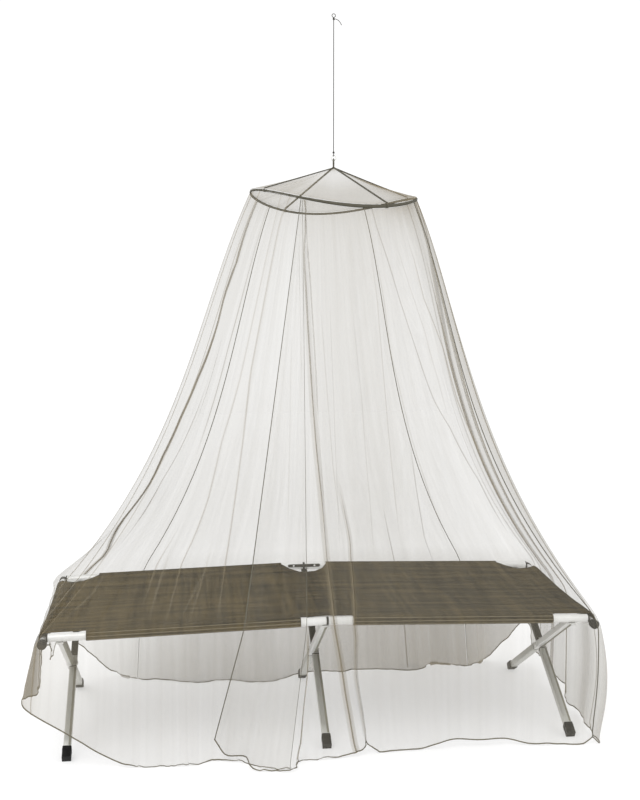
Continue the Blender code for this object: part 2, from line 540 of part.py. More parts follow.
def thick_sheet(name, grid, thickness, material, closed=False, padded=False, floor=None):
    """A sheet of even thickness about a grid of points, which has its first index along the sheet.

    A padded grid has one more line past each end, which only gives the slope there."""
    if closed:
        d_along = np.roll(grid, -1, axis=0) - np.roll(grid, 1, axis=0)
    elif padded:
        d_along = grid[2:] - grid[:-2]
        grid = grid[1:-1]
    else:
        d_along = np.gradient(grid, axis=0)
    along, down = grid.shape[:2]
    d_down = np.gradient(grid, axis=1)
    normal = np.cross(d_down, d_along)
    normal /= np.linalg.norm(normal, axis=2, keepdims=True)
    outer, inner = grid + normal * thickness / 2, grid - normal * thickness / 2
    if floor is not None:
        low, high = np.minimum(outer[..., 2], inner[..., 2]), np.maximum(outer[..., 2], inner[..., 2])
        lift = np.maximum(0.0, floor - low)
        on_floor = low < floor + thickness * 0.3
        outer[..., 2] += lift
        inner[..., 2] += lift
        outer_is_low = outer[..., 2] < inner[..., 2]
        outer[..., 2] = np.where(on_floor & outer_is_low, floor, outer[..., 2])
        inner[..., 2] = np.where(on_floor & ~outer_is_low, floor, inner[..., 2])
    verts = np.concatenate([outer.reshape(-1, 3), inner.reshape(-1, 3)])
    size = along * down
    faces = []
    last = along if closed else along - 1
    for i in range(last):
        k = (i + 1) % along
        for j in range(down - 1):
            a, b, c, d = i * down + j, k * down + j, k * down + j + 1, i * down + j + 1
            faces += [(a, d, c, b), (size + a, size + b, size + c, size + d)]
        top_a, top_b = i * down, k * down
        low_a, low_b = top_a + down - 1, top_b + down - 1
        faces.append((top_a, top_b, size + top_b, size + top_a))
        faces.append((low_b, low_a, size + low_a, size + low_b))
    if not closed:
        for j in range(down - 1):
            a, b = j, j + 1
            faces.append((b, a, size + a, size + b))
            a, b = (along - 1) * down + j, (along - 1) * down + j + 1
            faces.append((a, b, size + b, size + a))
    obj = add_object(name, verts, faces, material)
    orient_outward(obj)
    return obj


def make_crown(mats):
    radii = (APEX_HOLE, *CROWN_RADII, HOOP_RADIUS + CROWN_OVERHANG)
    grid = np.array([[(*around_hoop(angle, r), crown_z(angle, r)) for r in radii]
                     for angle in (360 * i / CROWN_STEPS for i in range(CROWN_STEPS))])
    thick_sheet("net_crown", grid, NET, mats["net"], closed=True)


def make_tapes(mats):
    """Two tapes that cross at the apex, each from one side of the hoop to the other."""
    radii = (HOOP_RADIUS + TAPE_OVERHANG, *TAPE_RADII)
    for index, arms in enumerate(TAPE_ARMS):
        lift = NET / 2 + TAPE_CLEARANCE + TAPE_THICK / 2
        peak = APEX_HEIGHT + lift + index * (TAPE_THICK + GAP)
        sides = []
        for angle in arms:
            line = [Vector((*around_hoop(angle, r), crown_z(angle, r) + lift)) for r in radii]
            line[-1].z = max(line[-1].z, peak - TAPE_CLEARANCE)
            across = Vector((*around_hoop(angle + 90, 1.0), 0.0)) - Vector((*HOOP_CENTRE, 0.0))
            sides.append([(p, across) for p in line])
        first, second = sides[0][0][1], -sides[1][0][1]
        path = sides[0] + [(Vector((*HOOP_CENTRE, peak)), (first + second).normalized())]
        path += [(p, -across) for p, across in sides[1][::-1]]
        grid = np.array([[tuple(p + across * (s * TAPE_WIDTH / 2)) for s in (-1, 1)] for p, across in path])
        thick_sheet(f"crown_tape_{index + 1}", grid, TAPE_THICK, mats["olive_tape"])


# ---------------------------------------------------------------- hanging gear

def make_hanging_gear(mats):
    x, y = HOOP_CENTRE
    ring_low = RING_CENTRE_Z - RING_MAJOR
    loop_top = ring_low + RING_MINOR + GAP + LOOP_TUBE
    loop_low = APEX_HEIGHT + NET / 2 + TAPE_CLEARANCE + TAPE_THICK * 2 + GAP * 3 + LOOP_TUBE
    half_height = (loop_top - loop_low) / 2
    ring("apex_loop", (x, y, loop_low + half_height), LOOP_HALF_WIDTH, LOOP_TUBE, "X", mats["olive_tape"],
         stretch=half_height / LOOP_HALF_WIDTH)
    ring("hanging_ring", (x, y, RING_CENTRE_Z), RING_MAJOR, RING_MINOR, "Y", mats["clear_plastic"], steps=24)
    tie_major = RING_MINOR + GAP + EYE_TUBE
    tie_z = RING_CENTRE_Z + RING_MAJOR
    ring("cord_tie", (x, y, tie_z), tie_major, EYE_TUBE, "X", mats["cord"], steps=14, sides=6)
    low_knot = tie_z + tie_major + EYE_TUBE + GAP
    knot("cord_knot_low", (x, y, low_knot), mats["cord"])
    knot("cord_knot_top", (x, y, CORD_TOP_Z), mats["cord"])
    cord_low, cord_high = low_knot + 2 * KNOT_RADIUS + GAP, CORD_TOP_Z - GAP
    cord_curve("hanging_cord", [(x, y, cord_low + (cord_high - cord_low) * i / CORD_STEPS)
                                for i in range(CORD_STEPS + 1)], CORD_RADIUS, mats["cord"])
    eye_z = CORD_TOP_Z + 2 * KNOT_RADIUS + GAP + EYE_TUBE + EYE_MAJOR
    ring("cord_eye", (x, y, eye_z), EYE_MAJOR, EYE_TUBE, "Y", mats["cord"], steps=16, sides=6)
    start = Vector((x + KNOT_RADIUS + GAP, y, CORD_TOP_Z + KNOT_RADIUS))
    cord_curve("cord_tail", [start + Vector(step) for step in TAIL_STEPS], EYE_TUBE, mats["cord"])


def cord_curve(name, points, radius, material):
    curve = bpy.data.curves.new(name, "CURVE")
    curve.dimensions = "3D"
    curve.bevel_depth = radius
    curve.bevel_resolution = 2
    curve.use_fill_caps = True
    spline = curve.splines.new("POLY")
    spline.points.add(len(points) - 1)
    for spline_point, point in zip(spline.points, points):
        spline_point.co = (*point, 1.0)
    curve.materials.append(material)
    bpy.context.collection.objects.link(bpy.data.objects.new(name, curve))


def knot(name, base, material):
    """A knot stands on its base point: three turns drawn tight."""
    profile = ((0.0, 0.55), (0.18, 0.9), (0.34, 0.72), (0.5, 1.0), (0.66, 0.72), (0.82, 0.9), (1.0, 0.55))
    path = [Vector(base) + Vector((0, 0, 2 * KNOT_RADIUS * height)) for height, _ in profile]
    return swept_tube(name, path, [KNOT_RADIUS * width for _, width in profile], 10, material)


# ---------------------------------------------------------------- wall of net

def wall_table():
    return {name: [row[i] for row in WALL_ROWS] for i, name in enumerate(WALL_COLUMNS)}


def smooth_value(values, place):
    """Catmull-Rom value of a table column at a place between its rows."""
    last = len(values) - 1
    place = min(max(place, 0.0), float(last))
    i = min(int(place), last - 1)
    t = place - i
    p1, p2 = values[i], values[i + 1]
    p0 = values[i - 1] if i > 0 else 2 * p1 - p2
    p3 = values[i + 2] if i + 2 <= last else 2 * p2 - p1
    return 0.5 * (2 * p1 + (p2 - p0) * t + (2 * p0 - 5 * p1 + 4 * p2 - p3) * t * t
                  + (3 * p1 - p0 - 3 * p2 + p3) * t ** 3)


def bow_share(a, power):
    """How much of the bow a line has at a share of its height: none at the hoop and the bed."""
    deepest = power / (power + 1)
    return a ** power * (1 - a) / (deepest ** power * (1 - deepest))


def wall_line(table, place):
    """Middle layer of the net along one line, from the hoop to the hem."""
    place = min(max(place, 0.0), len(WALL_ROWS) - 1.0)
    angle = smooth_value(table["angle"], place)
    bed = np.array([smooth_value(table[name], place) for name in ("bed_x", "bed_y", "bed_z")])
    hem_height = max(smooth_value(table["hem_z"], place), 0.0)
    hem = np.array([smooth_value(table["hem_x"], place), smooth_value(table["hem_y"], place),
                    hem_height + NET / 2])
    lift = OVERLAP_LIFT * min(1.0, max(0.0, (OVERLAP_ROWS[1] - place) / (OVERLAP_ROWS[1] - OVERLAP_ROWS[0])))
    top_z = hoop_z(angle) - hoop_tube(angle) - WALL_CLEARANCE
    top = np.array([*around_hoop(angle, HOOP_RADIUS + lift), top_z])
    run = (top[:2] - bed[:2]) * BOW * smooth_value(table["bow"], place)
    power = smooth_value(table["power"], place)
    points = []
    for a in UPPER_STEPS:
        point = top + (bed - top) * a
        point[:2] += run * bow_share(a, power)
        points.append(point)
    ahead, behind = place + BED_SLOPE_STEP, place - BED_SLOPE_STEP
    along = [smooth_value(table[name], ahead) - smooth_value(table[name], behind) for name in ("bed_x", "bed_y")]
    outward = np.array([along[1], -along[0]]) / math.hypot(*along)
    touch = hem_start(bed, hem, hem_height, outward)
    belly = np.array([*outward, 0.0]) * smooth_value(table["belly"], place)
    points += [bed + (touch - bed) * b + belly * math.sin(math.pi * b) for b in LOWER_STEPS] + [hem]
    return np.array(points)


def hem_start(bed, hem, hem_height, outward):
    """Where the last strip above the hem begins: flat on the floor, or straight up it where the hem hovers."""
    reach = float(np.dot(bed[:2] - hem[:2], outward))
    lie = max(-FLOOR_LIE, min(FLOOR_LIE, reach))
    flat = hem + np.array([*(outward * lie), math.sqrt(FLOOR_LIE ** 2 - lie ** 2)])
    straight = hem + (bed - hem) * (FLOOR_LIE / np.linalg.norm(bed - hem))
    return flat + (straight - flat) * min(hem_height / HOVER_HEIGHT, 1.0)


def fold_share():
    """How strongly folds stand out at each step down a line: none at the hoop, less over the bed's edge."""
    upper = [min(1.0, a / FOLD_FULL_AT) ** FOLD_GROWTH * (1 - FOLD_PRESS * a ** 6) for a in UPPER_STEPS]
    return np.array([*upper, *LOWER_FOLDS])


def wall_grid(table, places):
    share = fold_share()[:, None]
    lines = []
    for place in places:
        line = wall_line(table, place)
        along = wall_line(table, place + NORMAL_STEP) - wall_line(table, place - NORMAL_STEP)
        out = np.stack([along[:, 1], -along[:, 0]], axis=1)
        out /= np.maximum(np.linalg.norm(out, axis=1, keepdims=True), 1e-9)
        line[:, :2] += out * share * max(smooth_value(table["fold"], place), 0.0)
        lines.append(line)
    return np.array(lines)


def make_wall(mats):
    table = wall_table()
    names = table["line"]
    for node, first, last in PANELS:
        start, end = names.index(first), names.index(last)
        count = (end - start) * COLUMNS_PER_ROW
        places = [start + i / COLUMNS_PER_ROW for i in range(count + 1)]
        places[0] += SEAM_HALF
        places[-1] -= SEAM_HALF
        places = [start - 1 / COLUMNS_PER_ROW] + places + [end + 1 / COLUMNS_PER_ROW]
        thick_sheet(node, wall_grid(table, places), NET, mats["net"], padded=True, floor=0.0)


def main():
    clear_scene()
    mats = {name: make_material(name) for name in COLOURS}
    make_rails(mats)
    make_hinge_plates(mats)
    make_end_bars(mats)
    make_legs(mats)
    make_canvas(mats)
    make_hoop(mats)
    make_crown(mats)
    make_tapes(mats)
    make_hanging_gear(mats)
    make_wall(mats)
    for obj in list(bpy.data.objects):
        obj.data.transform(Matrix.Translation(FRAME_SHIFT))


main()
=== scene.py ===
# Hooped mosquito net hung over a folding camp bed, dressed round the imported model. Metres, +Z up.
import math

import bmesh
import bpy
import numpy as np
from mathutils import Matrix, Vector


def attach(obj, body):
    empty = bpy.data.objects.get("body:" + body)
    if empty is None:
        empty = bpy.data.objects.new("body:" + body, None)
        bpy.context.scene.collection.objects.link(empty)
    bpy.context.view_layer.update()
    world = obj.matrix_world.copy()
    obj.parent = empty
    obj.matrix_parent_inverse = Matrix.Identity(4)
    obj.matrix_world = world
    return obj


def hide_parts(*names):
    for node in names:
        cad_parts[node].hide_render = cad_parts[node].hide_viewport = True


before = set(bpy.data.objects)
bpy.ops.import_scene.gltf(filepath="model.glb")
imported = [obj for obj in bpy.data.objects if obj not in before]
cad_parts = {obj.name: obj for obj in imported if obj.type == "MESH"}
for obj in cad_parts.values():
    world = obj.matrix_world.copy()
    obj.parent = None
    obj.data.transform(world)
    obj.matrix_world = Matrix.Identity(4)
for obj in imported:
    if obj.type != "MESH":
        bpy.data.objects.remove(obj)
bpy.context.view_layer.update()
print("frame loaded:", len(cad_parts), "nodes")

# sizes below are measured from under the middle of the bed; every new piece is moved by this when it is made
bedToRow = Vector((0.0071, 0.0334, 0.0))

# ---- camera ----

view = {"at": (-0.4945, -4.3179, 1.6868), "yaw": 0.1215, "pitch": 0.1151, "lens": 54.108, "sensor": 36.0,
        "near": 0.05, "far": 60.0}


def makeCamera():
    data = bpy.data.cameras.new("camera")
    data.lens, data.sensor_width = view["lens"], view["sensor"]
    data.clip_start, data.clip_end = view["near"], view["far"]
    camera = bpy.data.objects.new("camera", data)
    camera.location = view["at"]
    camera.rotation_euler = (math.pi / 2 - view["pitch"], 0.0, -view["yaw"])
    bpy.context.collection.objects.link(camera)
    bpy.context.scene.camera = camera


makeCamera()
print("camera set")

# ---- shader maths ----


class Wire:
    # a socket of a shader tree; sums on it add Math nodes
    def __init__(self, tree, socket=None):
        self.tree, self.socket = tree, socket

    def node(self, kind, settings=None, inputs=None, out=0):
        # any other node: its settings first, then the values or links of its sockets
        made = self.tree.nodes.new(kind)
        for key, value in (settings or {}).items():
            setattr(made, key, value)
        for key, value in (inputs or {}).items():
            if isinstance(value, Wire):
                self.tree.links.new(value.socket, made.inputs[key])
            else:
                made.inputs[key].default_value = value
        return Wire(self.tree, made.outputs[out] if made.outputs else None)

    def sum(self, operation, a, b=0.0):
        return self.node("ShaderNodeMath", {"operation": operation}, {0: a, 1: b})

    def __add__(self, other):
        return self.sum("ADD", self, other)

    def __sub__(self, other):
        return self.sum("SUBTRACT", self, other)

    def __rsub__(self, other):
        return self.sum("SUBTRACT", other, self)

    def __mul__(self, other):
        return self.sum("MULTIPLY", self, other)

    __radd__, __rmul__ = __add__, __mul__

    def clamped(self, low=0.0, high=1.0):
        return self.sum("MINIMUM", self.sum("MAXIMUM", self, low), high)

    def mix(self, share, first, second):
        # colours: share 0 gives the first
        return self.node("ShaderNodeMix", {"data_type": "RGBA"}, {0: share, 6: first, 7: second}, out=2)

    def place(self, scale=(1.0, 1.0, 1.0)):
        # the piece's own coordinates in metres, stretched
        own = self.node("ShaderNodeTexCoord", out="Object")
        return self.node("ShaderNodeVectorMath", {"operation": "MULTIPLY"}, {0: own, 1: scale})

    def noise(self, where, scale, detail=2.0, rough=0.5):
        return self.node("ShaderNodeTexNoise", None,
                         {"Vector": where, "Scale": scale, "Detail": detail, "Roughness": rough}, out="Fac")

    def wave(self, number, pitch):
        # goes from -1 to 1 once in each pitch of the number
        return self.sum("SINE", number * (2 * math.pi / pitch))

    def split(self, vector):
        # the three numbers of a vector
        axes = self.node("ShaderNodeSeparateXYZ", None, {0: vector}).socket.node
        return [Wire(self.tree, socket) for socket in axes.outputs]

    def cloth(self):
        # along and down the cloth, in metres
        return self.split(self.node("ShaderNodeUVMap", {"uv_map": "cloth"}))[:2]


def makeMaterial(name, paint, **plain):
    # paint gives what varies over the surface, plain holds the numbers that don't
    mat = bpy.data.materials.new(name)
    mat.use_nodes = True
    mat.node_tree.nodes.clear()
    wire = Wire(mat.node_tree)
    varied = paint(wire)
    if "height" in varied:
        relief = {"Height": varied.pop("height"), "Distance": varied.pop("depth"), "Strength": 1.0}
        varied["Normal"] = wire.node("ShaderNodeBump", None, relief)
    named = {key.replace("_", " "): value for key, value in plain.items()}
    shader = wire.node("ShaderNodeBsdfPrincipled", None, {**named, **varied})
    wire.node("ShaderNodeOutputMaterial", None, {"Surface": shader})
    return mat


def colour(red, green, blue):
    # screen numbers from 0 to 255 as a shader colour
    return tuple((c / 255 / 12.92) if c < 10.3 else ((c / 255 + 0.055) / 1.055) ** 2.4
                 for c in (red, green, blue)) + (1.0,)


# ---- materials ----

finishes = {
    # threadDenseAndShade is the browner thread of net that lies in more layers, and of the painted shade below the
    # bed
    "thread": colour(146, 141, 128), "threadDenseAndShade": colour(126, 115, 92), "hem": colour(116, 108, 89),
    "seam": colour(100, 97, 86), "olive": colour(88, 84, 70), "oliveDark": colour(64, 61, 50),
    "canvas": colour(90, 77, 48), "canvasDark": colour(40, 33, 17), "pale": colour(150, 140, 116),
    # shadeStripe is the painted shade laid on the legs' shaded sides
    "aluminium": colour(236, 236, 234), "legMetal": colour(204, 204, 198), "shadeStripe": colour(122, 120, 108),
    "paint": colour(44, 42, 37), "plastic": colour(12, 12, 12), "rubber": colour(11, 11, 11),
    "clear": colour(206, 206, 202), "cord": colour(72, 70, 64),
}
netLook = {"sheer": 0.160, "pitch": 0.0017, "even": 0.80, "patches": 0.36, "patchSize": (3.0, 3.0, 1.2), "mesh": 0.18,
           "dense": 2.6, "least": 0.03, "most": 0.97}
canvasLook = {"pitch": 0.0011, "slubs": 2.0, "slubSize": (2.5, 38.0, 38.0), "warp": 1.5, "warpSize": (60.0, 2.0, 3.0),
              "faded": 0.4, "weave": 0.10, "shift": 1.62, "paintedLightSlope": -0.45, "paintedLightMiddle": 0.03, "paintedLightMost": 0.42}


def tinted(name, share, lift=0.0):
    # a finish made darker or lighter
    return tuple(min(1.0, c * share + lift) for c in finishes[name][:3]) + (1.0,)


def paintNet(wire):
    look = netLook
    along, down = wire.cloth()
    mesh = wire.wave(along, look["pitch"]) * wire.wave(down, look["pitch"])
    # the extra cloth and the painted shade below the bed both make the net denser and browner
    gatherAndShade = wire.node("ShaderNodeAttribute", {"attribute_name": "gatherAndShade"}, out="Fac")
    patches = wire.noise(wire.place(look["patchSize"]), 2.0, 3.0)
    alpha = look["sheer"] * (look["even"] + patches * look["patches"] + mesh * look["mesh"]) + gatherAndShade
    shade = wire.mix((gatherAndShade * look["dense"]).clamped(), finishes["thread"], finishes["threadDenseAndShade"])
    return {"Base Color": shade, "Alpha": alpha.clamped(look["least"], look["most"])}


def paintTape(main, dark, pitch=0.0012):
    def paint(wire):
        along, down = wire.cloth()
        weave = wire.wave(along, pitch) * wire.wave(down, pitch)
        worn = wire.noise(wire.place(), 60.0, 4.0, 0.6)
        shade = wire.mix((weave * 0.25 + worn).clamped(), finishes[dark], finishes[main])
        return {"Base Color": shade, "height": weave * 0.5 + worn, "depth": 0.0003}
    return paint


def paintCanvas(wire):
    look = canvasLook
    spot = wire.place()
    x, y, _ = wire.split(spot)
    weave = wire.wave(x, look["pitch"]) * wire.wave(y, look["pitch"])
    slubs = wire.noise(wire.place(look["slubSize"]), 1.0, 2.0, 0.6)
    warp = wire.noise(wire.place(look["warpSize"]), 1.0, 2.0, 0.6)
    faded = wire.noise(spot, 2.6, 3.0, 0.55)
    # painted light: the canvas is painted paler towards the left end of the bed
    paintedLight = (x * look["paintedLightSlope"] + look["paintedLightMiddle"]).clamped(0.0, look["paintedLightMost"])     # paler towards the left end
    share = (slubs * look["slubs"] + warp * look["warp"] + faded * look["faded"] + paintedLight - look["shift"]
             + weave * look["weave"]).clamped()
    shade = wire.mix(share, finishes["canvasDark"], finishes["canvas"])
    return {"Base Color": shade, "height": weave * 0.4 + slubs * 0.6 + warp * 0.4, "depth": 0.0005}


def paintMetal(main, streak=(2.0, 400.0, 400.0), contrast=0.10):
    def paint(wire):
        brushed = wire.noise(wire.place(streak), 1.0, 3.0, 0.6)
        worn = wire.noise(wire.place(), 14.0, 4.0, 0.6)
        shade = wire.mix((brushed * 0.6 + worn * 0.4).clamped(), tinted(main, 1 - contrast * 2), finishes[main])
        return {"Base Color": shade, "Roughness": brushed * 0.18 + worn * 0.12 + 0.20,
                "height": brushed, "depth": 0.00006}
    return paint


def paintGrain(main, grain=900.0, depth=0.00015):
    def paint(wire):
        fine = wire.noise(wire.place(), grain, 2.0)
        worn = wire.noise(wire.place(), 30.0, 4.0, 0.65)
        shade = wire.mix((worn * 1.4 - 0.5).clamped(), finishes[main], tinted(main, 1.7, 0.01))
        return {"Base Color": shade, "Roughness": worn * 0.25 + 0.38, "height": fine, "depth": depth}
    return paint


def paintCord(wire):
    # two sets of strands that cross
    x, _, z = wire.split(wire.place())
    slant, pitch = 0.8, 0.0026
    strands = wire.wave(z + x * slant, pitch) * wire.wave(z - x * slant, pitch)
    worn = wire.noise(wire.place(), 300.0, 2.0)
    shade = wire.mix((strands * 0.4 + worn).clamped(), tinted("cord", 0.6), finishes["cord"])
    return {"Base Color": shade, "height": strands, "depth": 0.0003}


mats = {
    "net": makeMaterial("netThread", paintNet, Roughness=0.85),
    "hem": makeMaterial("netHem", paintTape("hem", "seam"), Roughness=0.85),
    "seam": makeMaterial("netSeam", paintTape("seam", "olive"), Roughness=0.85),
    "tape": makeMaterial("oliveTape", paintTape("olive", "oliveDark"), Roughness=0.80),
    "canvas": makeMaterial("cotCanvas", paintCanvas, Roughness=0.95, Specular_IOR_Level=0.15),
    "stitch": makeMaterial("stitchThread", paintGrain("canvasDark", 1500.0), Specular_IOR_Level=0.3),
    "piping": makeMaterial("sleevePiping", paintTape("pale", "canvas"), Roughness=0.90),
    "rail": makeMaterial("railAluminium", paintMetal("aluminium", contrast=0.05), Metallic=0.25),
    "leg": makeMaterial("legAluminium", paintMetal("legMetal", (400.0, 5.0, 5.0)), Metallic=0.35),
    "shadeStripe": makeMaterial("legShadeStripe", paintGrain("shadeStripe", 500.0), Specular_IOR_Level=0.3),
    "paint": makeMaterial("legPaint", paintGrain("paint", 500.0), Specular_IOR_Level=0.3),
    "plastic": makeMaterial("blackPlastic", paintGrain("plastic"), Specular_IOR_Level=0.25),
    "rubber": makeMaterial("footRubber", paintGrain("rubber", 700.0, 0.0003), Specular_IOR_Level=0.25),
    "clear": makeMaterial("clearPlastic", paintGrain("clear", 300.0, 0.0001), Coat_Weight=0.4),
    "cord": makeMaterial("hangingCord", paintCord, Roughness=0.80),
}
print("materials made:", len(mats))

# ---- shared mesh tools ----


def dress(obj, material, node):
    # into the scene, on the one body, in place of the node that it stands for
    obj.data.materials.append(mats[material])
    bpy.context.collection.objects.link(obj)
    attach(obj, "root")
    if node:
        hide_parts(node)
    return obj


def addPiece(name, verts, faces, material, node=None, slot=None, cloth=None, smooth=35.0):
    mesh = bpy.data.meshes.new(name)
    mesh.from_pydata([tuple(v) for v in verts], [], faces)
    mesh.update()
    mesh.shade_smooth()
    mesh.set_sharp_from_angle(angle=math.radians(smooth))
    if cloth is not None:
        layer = mesh.uv_layers.new(name="cloth")
        corners = np.zeros(len(mesh.loops), dtype=np.int32)
        mesh.loops.foreach_get("vertex_index", corners)
        layer.data.foreach_set("uv", np.asarray(cloth, dtype=np.float32)[corners].ravel())
    mesh.transform(Matrix.Translation(bedToRow))
    return dress(bpy.data.objects.new(name, mesh), material, node)


def faceOutward(obj):
    bm = bmesh.new()
    bm.from_mesh(obj.data)
    bmesh.ops.recalc_face_normals(bm, faces=bm.faces)
    bm.to_mesh(obj.data)
    bm.free()


def ringFaces(rings, sides, closed=False):
    # quads between rings of points, and a face over each end where the last ring doesn't meet the first
    faces = []
    for i in range(rings if closed else rings - 1):
        a, b = i * sides, (i + 1) % rings * sides
        faces += [(a + j, a + (j + 1) % sides, b + (j + 1) % sides, b + j) for j in range(sides)]
    if not closed:
        faces += [tuple(range(sides - 1, -1, -1)), tuple(range((rings - 1) * sides, rings * sides))]
    return faces


def gridFaces(columns, rows, closed=False):
    # quads of a sheet whose points run down each column
    return [(i * rows + j, i * rows + j + 1, (i + 1) % columns * rows + j + 1, (i + 1) % columns * rows + j)
            for i in range(columns if closed else columns - 1) for j in range(rows - 1)]


def loft(name, verts, rings, material, closed=False, **kept):
    obj = addPiece(name, verts, ringFaces(rings, len(verts) // rings, closed), material, **kept)
    faceOutward(obj)
    return obj


def tube(name, path, radii, material, sides=24, closed=False, start=(0.0, 0.0, 1.0), **kept):
    # a round tube along the path
    path = [Vector(p) for p in path]
    count, normal = len(path), Vector(start)
    verts, cloth, length = [], [], 0.0
    for i, point in enumerate(path):
        ends = (i - 1, (i + 1) % count) if closed else (max(i - 1, 0), min(i + 1, count - 1))
        tangent = (path[ends[1]] - path[ends[0]]).normalized()
        normal = (normal - tangent * normal.dot(tangent)).normalized()
        side = tangent.cross(normal)
        length += (point - path[i - 1]).length if i else 0.0
        for j in range(sides):
            turn = 2 * math.pi * j / sides
            verts.append(point + (normal * math.cos(turn) + side * math.sin(turn)) * radii[i])
            cloth.append((length, radii[i] * turn))
    return loft(name, verts, count, material, closed, cloth=cloth, **kept)


def rod(name, start, end, radius, material, chamfer=0.0006, sides=40, **kept):
    start, end = Vector(start), Vector(end)
    step = (end - start).normalized() * chamfer
    return tube(name, [start, start + step, end - step, end],
                [radius - chamfer, radius, radius, radius - chamfer], material, sides=sides, **kept)


def unit(vectors):
    return vectors / np.maximum(np.linalg.norm(vectors, axis=-1, keepdims=True), 1e-9)


# a tape's section, as shares of its width and thickness, with its two long edges slightly raised
tapeSection = ((-0.5, 0.25), (-0.42, 0.5), (-0.2, 0.42), (0.2, 0.42), (0.42, 0.5), (0.5, 0.25), (0.5, -0.25),
               (0.42, -0.5), (-0.42, -0.5), (-0.5, -0.25))


def ribbon(name, points, across, width, thick, material, **kept):
    # a flat tape along points, with a width direction at each
    points, across = np.asarray(points, float), np.asarray(across, float)
    along = unit(np.gradient(points, axis=0))
    across = unit(across - along * (across * along).sum(1, keepdims=True))
    up = np.cross(along, across)
    length = np.concatenate([[0.0], np.cumsum(np.linalg.norm(np.diff(points, axis=0), axis=1))])
    width = np.broadcast_to(width, (len(points),))
    verts, cloth = [], []
    for i, point in enumerate(points):
        for a, b in tapeSection:
            verts.append(point + across[i] * (a * width[i]) + up[i] * (b * thick))
            cloth.append((length[i], a * width[i]))
    return loft(name, verts, len(points), material, cloth=cloth, smooth=50.0, **kept)


def ramp(value, start, length):
    # from 0 at the start to 1 a length further on
    return np.clip((value - start) / length, 0.0, 1.0)


def swell(value, at, reach):
    # 1 at one place, and next to nothing from twice the reach away
    return np.exp(-((value - at) / reach) ** 2)


def turnFrom(degrees, at):
    # the signed angle from one direction to another
    return (degrees - at + 180) % 360 - 180


def setGatherAndShade(obj, values):
    # how much more cloth lies over each point than one plain layer, and on the wall also the painted shade below the
    # bed, drawn as more cloth
    layer = obj.data.attributes.new("gatherAndShade", "FLOAT", "POINT")
    layer.data.foreach_set("value", np.asarray(values, dtype=np.float32))


# ---- cord and what it hangs by ----

hanging = {"x": 0.078, "y": -0.005, "cordRadius": 0.0015, "cordLow": 2.0723, "knot": 0.004, "cordTop": 2.534,
           "steps": 50, "eyeMajor": 0.0062, "eyeTube": 0.0013, "ringZ": 2.0545, "ringMajor": 0.009,
           "ringMinor": 0.0021, "loopTube": 0.0024, "loopHalf": 0.0070, "apex": 2.014, "gap": 0.0003,
           "tapes": 0.0024, "netHalf": 0.0008, "bed": 0.0012, "turns": 50, "turnRadius": 0.72, "turnTube": 0.27,
           "turnLow": 0.45, "turnLength": 11.5}
# the knot's core: how far up it and how wide, as shares of its size
knotCore = ((0.0, 0.45), (0.12, 0.72), (0.3, 0.80), (0.5, 0.84), (0.7, 0.80), (0.88, 0.72), (1.0, 0.45))
tailSteps = ((0.0, 0.0, 0.0), (0.003, 0.0, 0.0), (0.006, 0.0, -0.001), (0.0095, -0.0005, -0.0025),
             (0.013, -0.001, -0.005), (0.016, -0.001, -0.008), (0.019, -0.001, -0.012),
             (0.0215, -0.0005, -0.0163), (0.024, 0.0, -0.021))


def cordCurve(name, points, radius, node):
    data = bpy.data.curves.new(name, "CURVE")
    data.dimensions, data.bevel_depth, data.bevel_resolution, data.use_fill_caps = "3D", radius, 4, True
    spline = data.splines.new("POLY")
    spline.points.add(len(points) - 1)
    for spot, point in zip(spline.points, points):
        spot.co = (*(Vector(point) + bedToRow), 1.0)
    return dress(bpy.data.objects.new(name, data), "cord", node)


def hungRing(name, z, major, minor, turned, node, material="cord", sides=12, stretch=1.0, steps=48):
    # an upright ring under the cord, in the plane of X or turned into that of Y
    across, start = Vector((0, 1, 0) if turned else (1, 0, 0)), (1, 0, 0) if turned else (0, 1, 0)
    turns = [2 * math.pi * i / steps for i in range(steps)]
    path = [Vector((hanging["x"], hanging["y"], z)) + across * (major * math.cos(t))
            + Vector((0, 0, major * stretch * math.sin(t))) for t in turns]
    return tube(name, path, [minor] * steps, material, sides=sides, closed=True, start=start, node=node)


def knotPiece(name, z, node):
    # a core with two turns of cord drawn round it
    h = hanging
    size, base = h["knot"], Vector((h["x"], h["y"], z))
    path = [base + Vector((0, 0, 2 * size * up)) for up, _ in knotCore]
    core = tube(name, path, [size * wide for _, wide in knotCore], "cord", node=node, start=(0, 1, 0))
    across = size * h["turnRadius"]
    turns = [base + Vector((across * math.cos(t), across * math.sin(t), size * (h["turnLow"] + t / h["turnLength"])))
             for t in np.linspace(0.0, 4 * math.pi, h["turns"])]
    return core, tube(name + "Turns", turns, [size * h["turnTube"]] * h["turns"], "cord", sides=10)


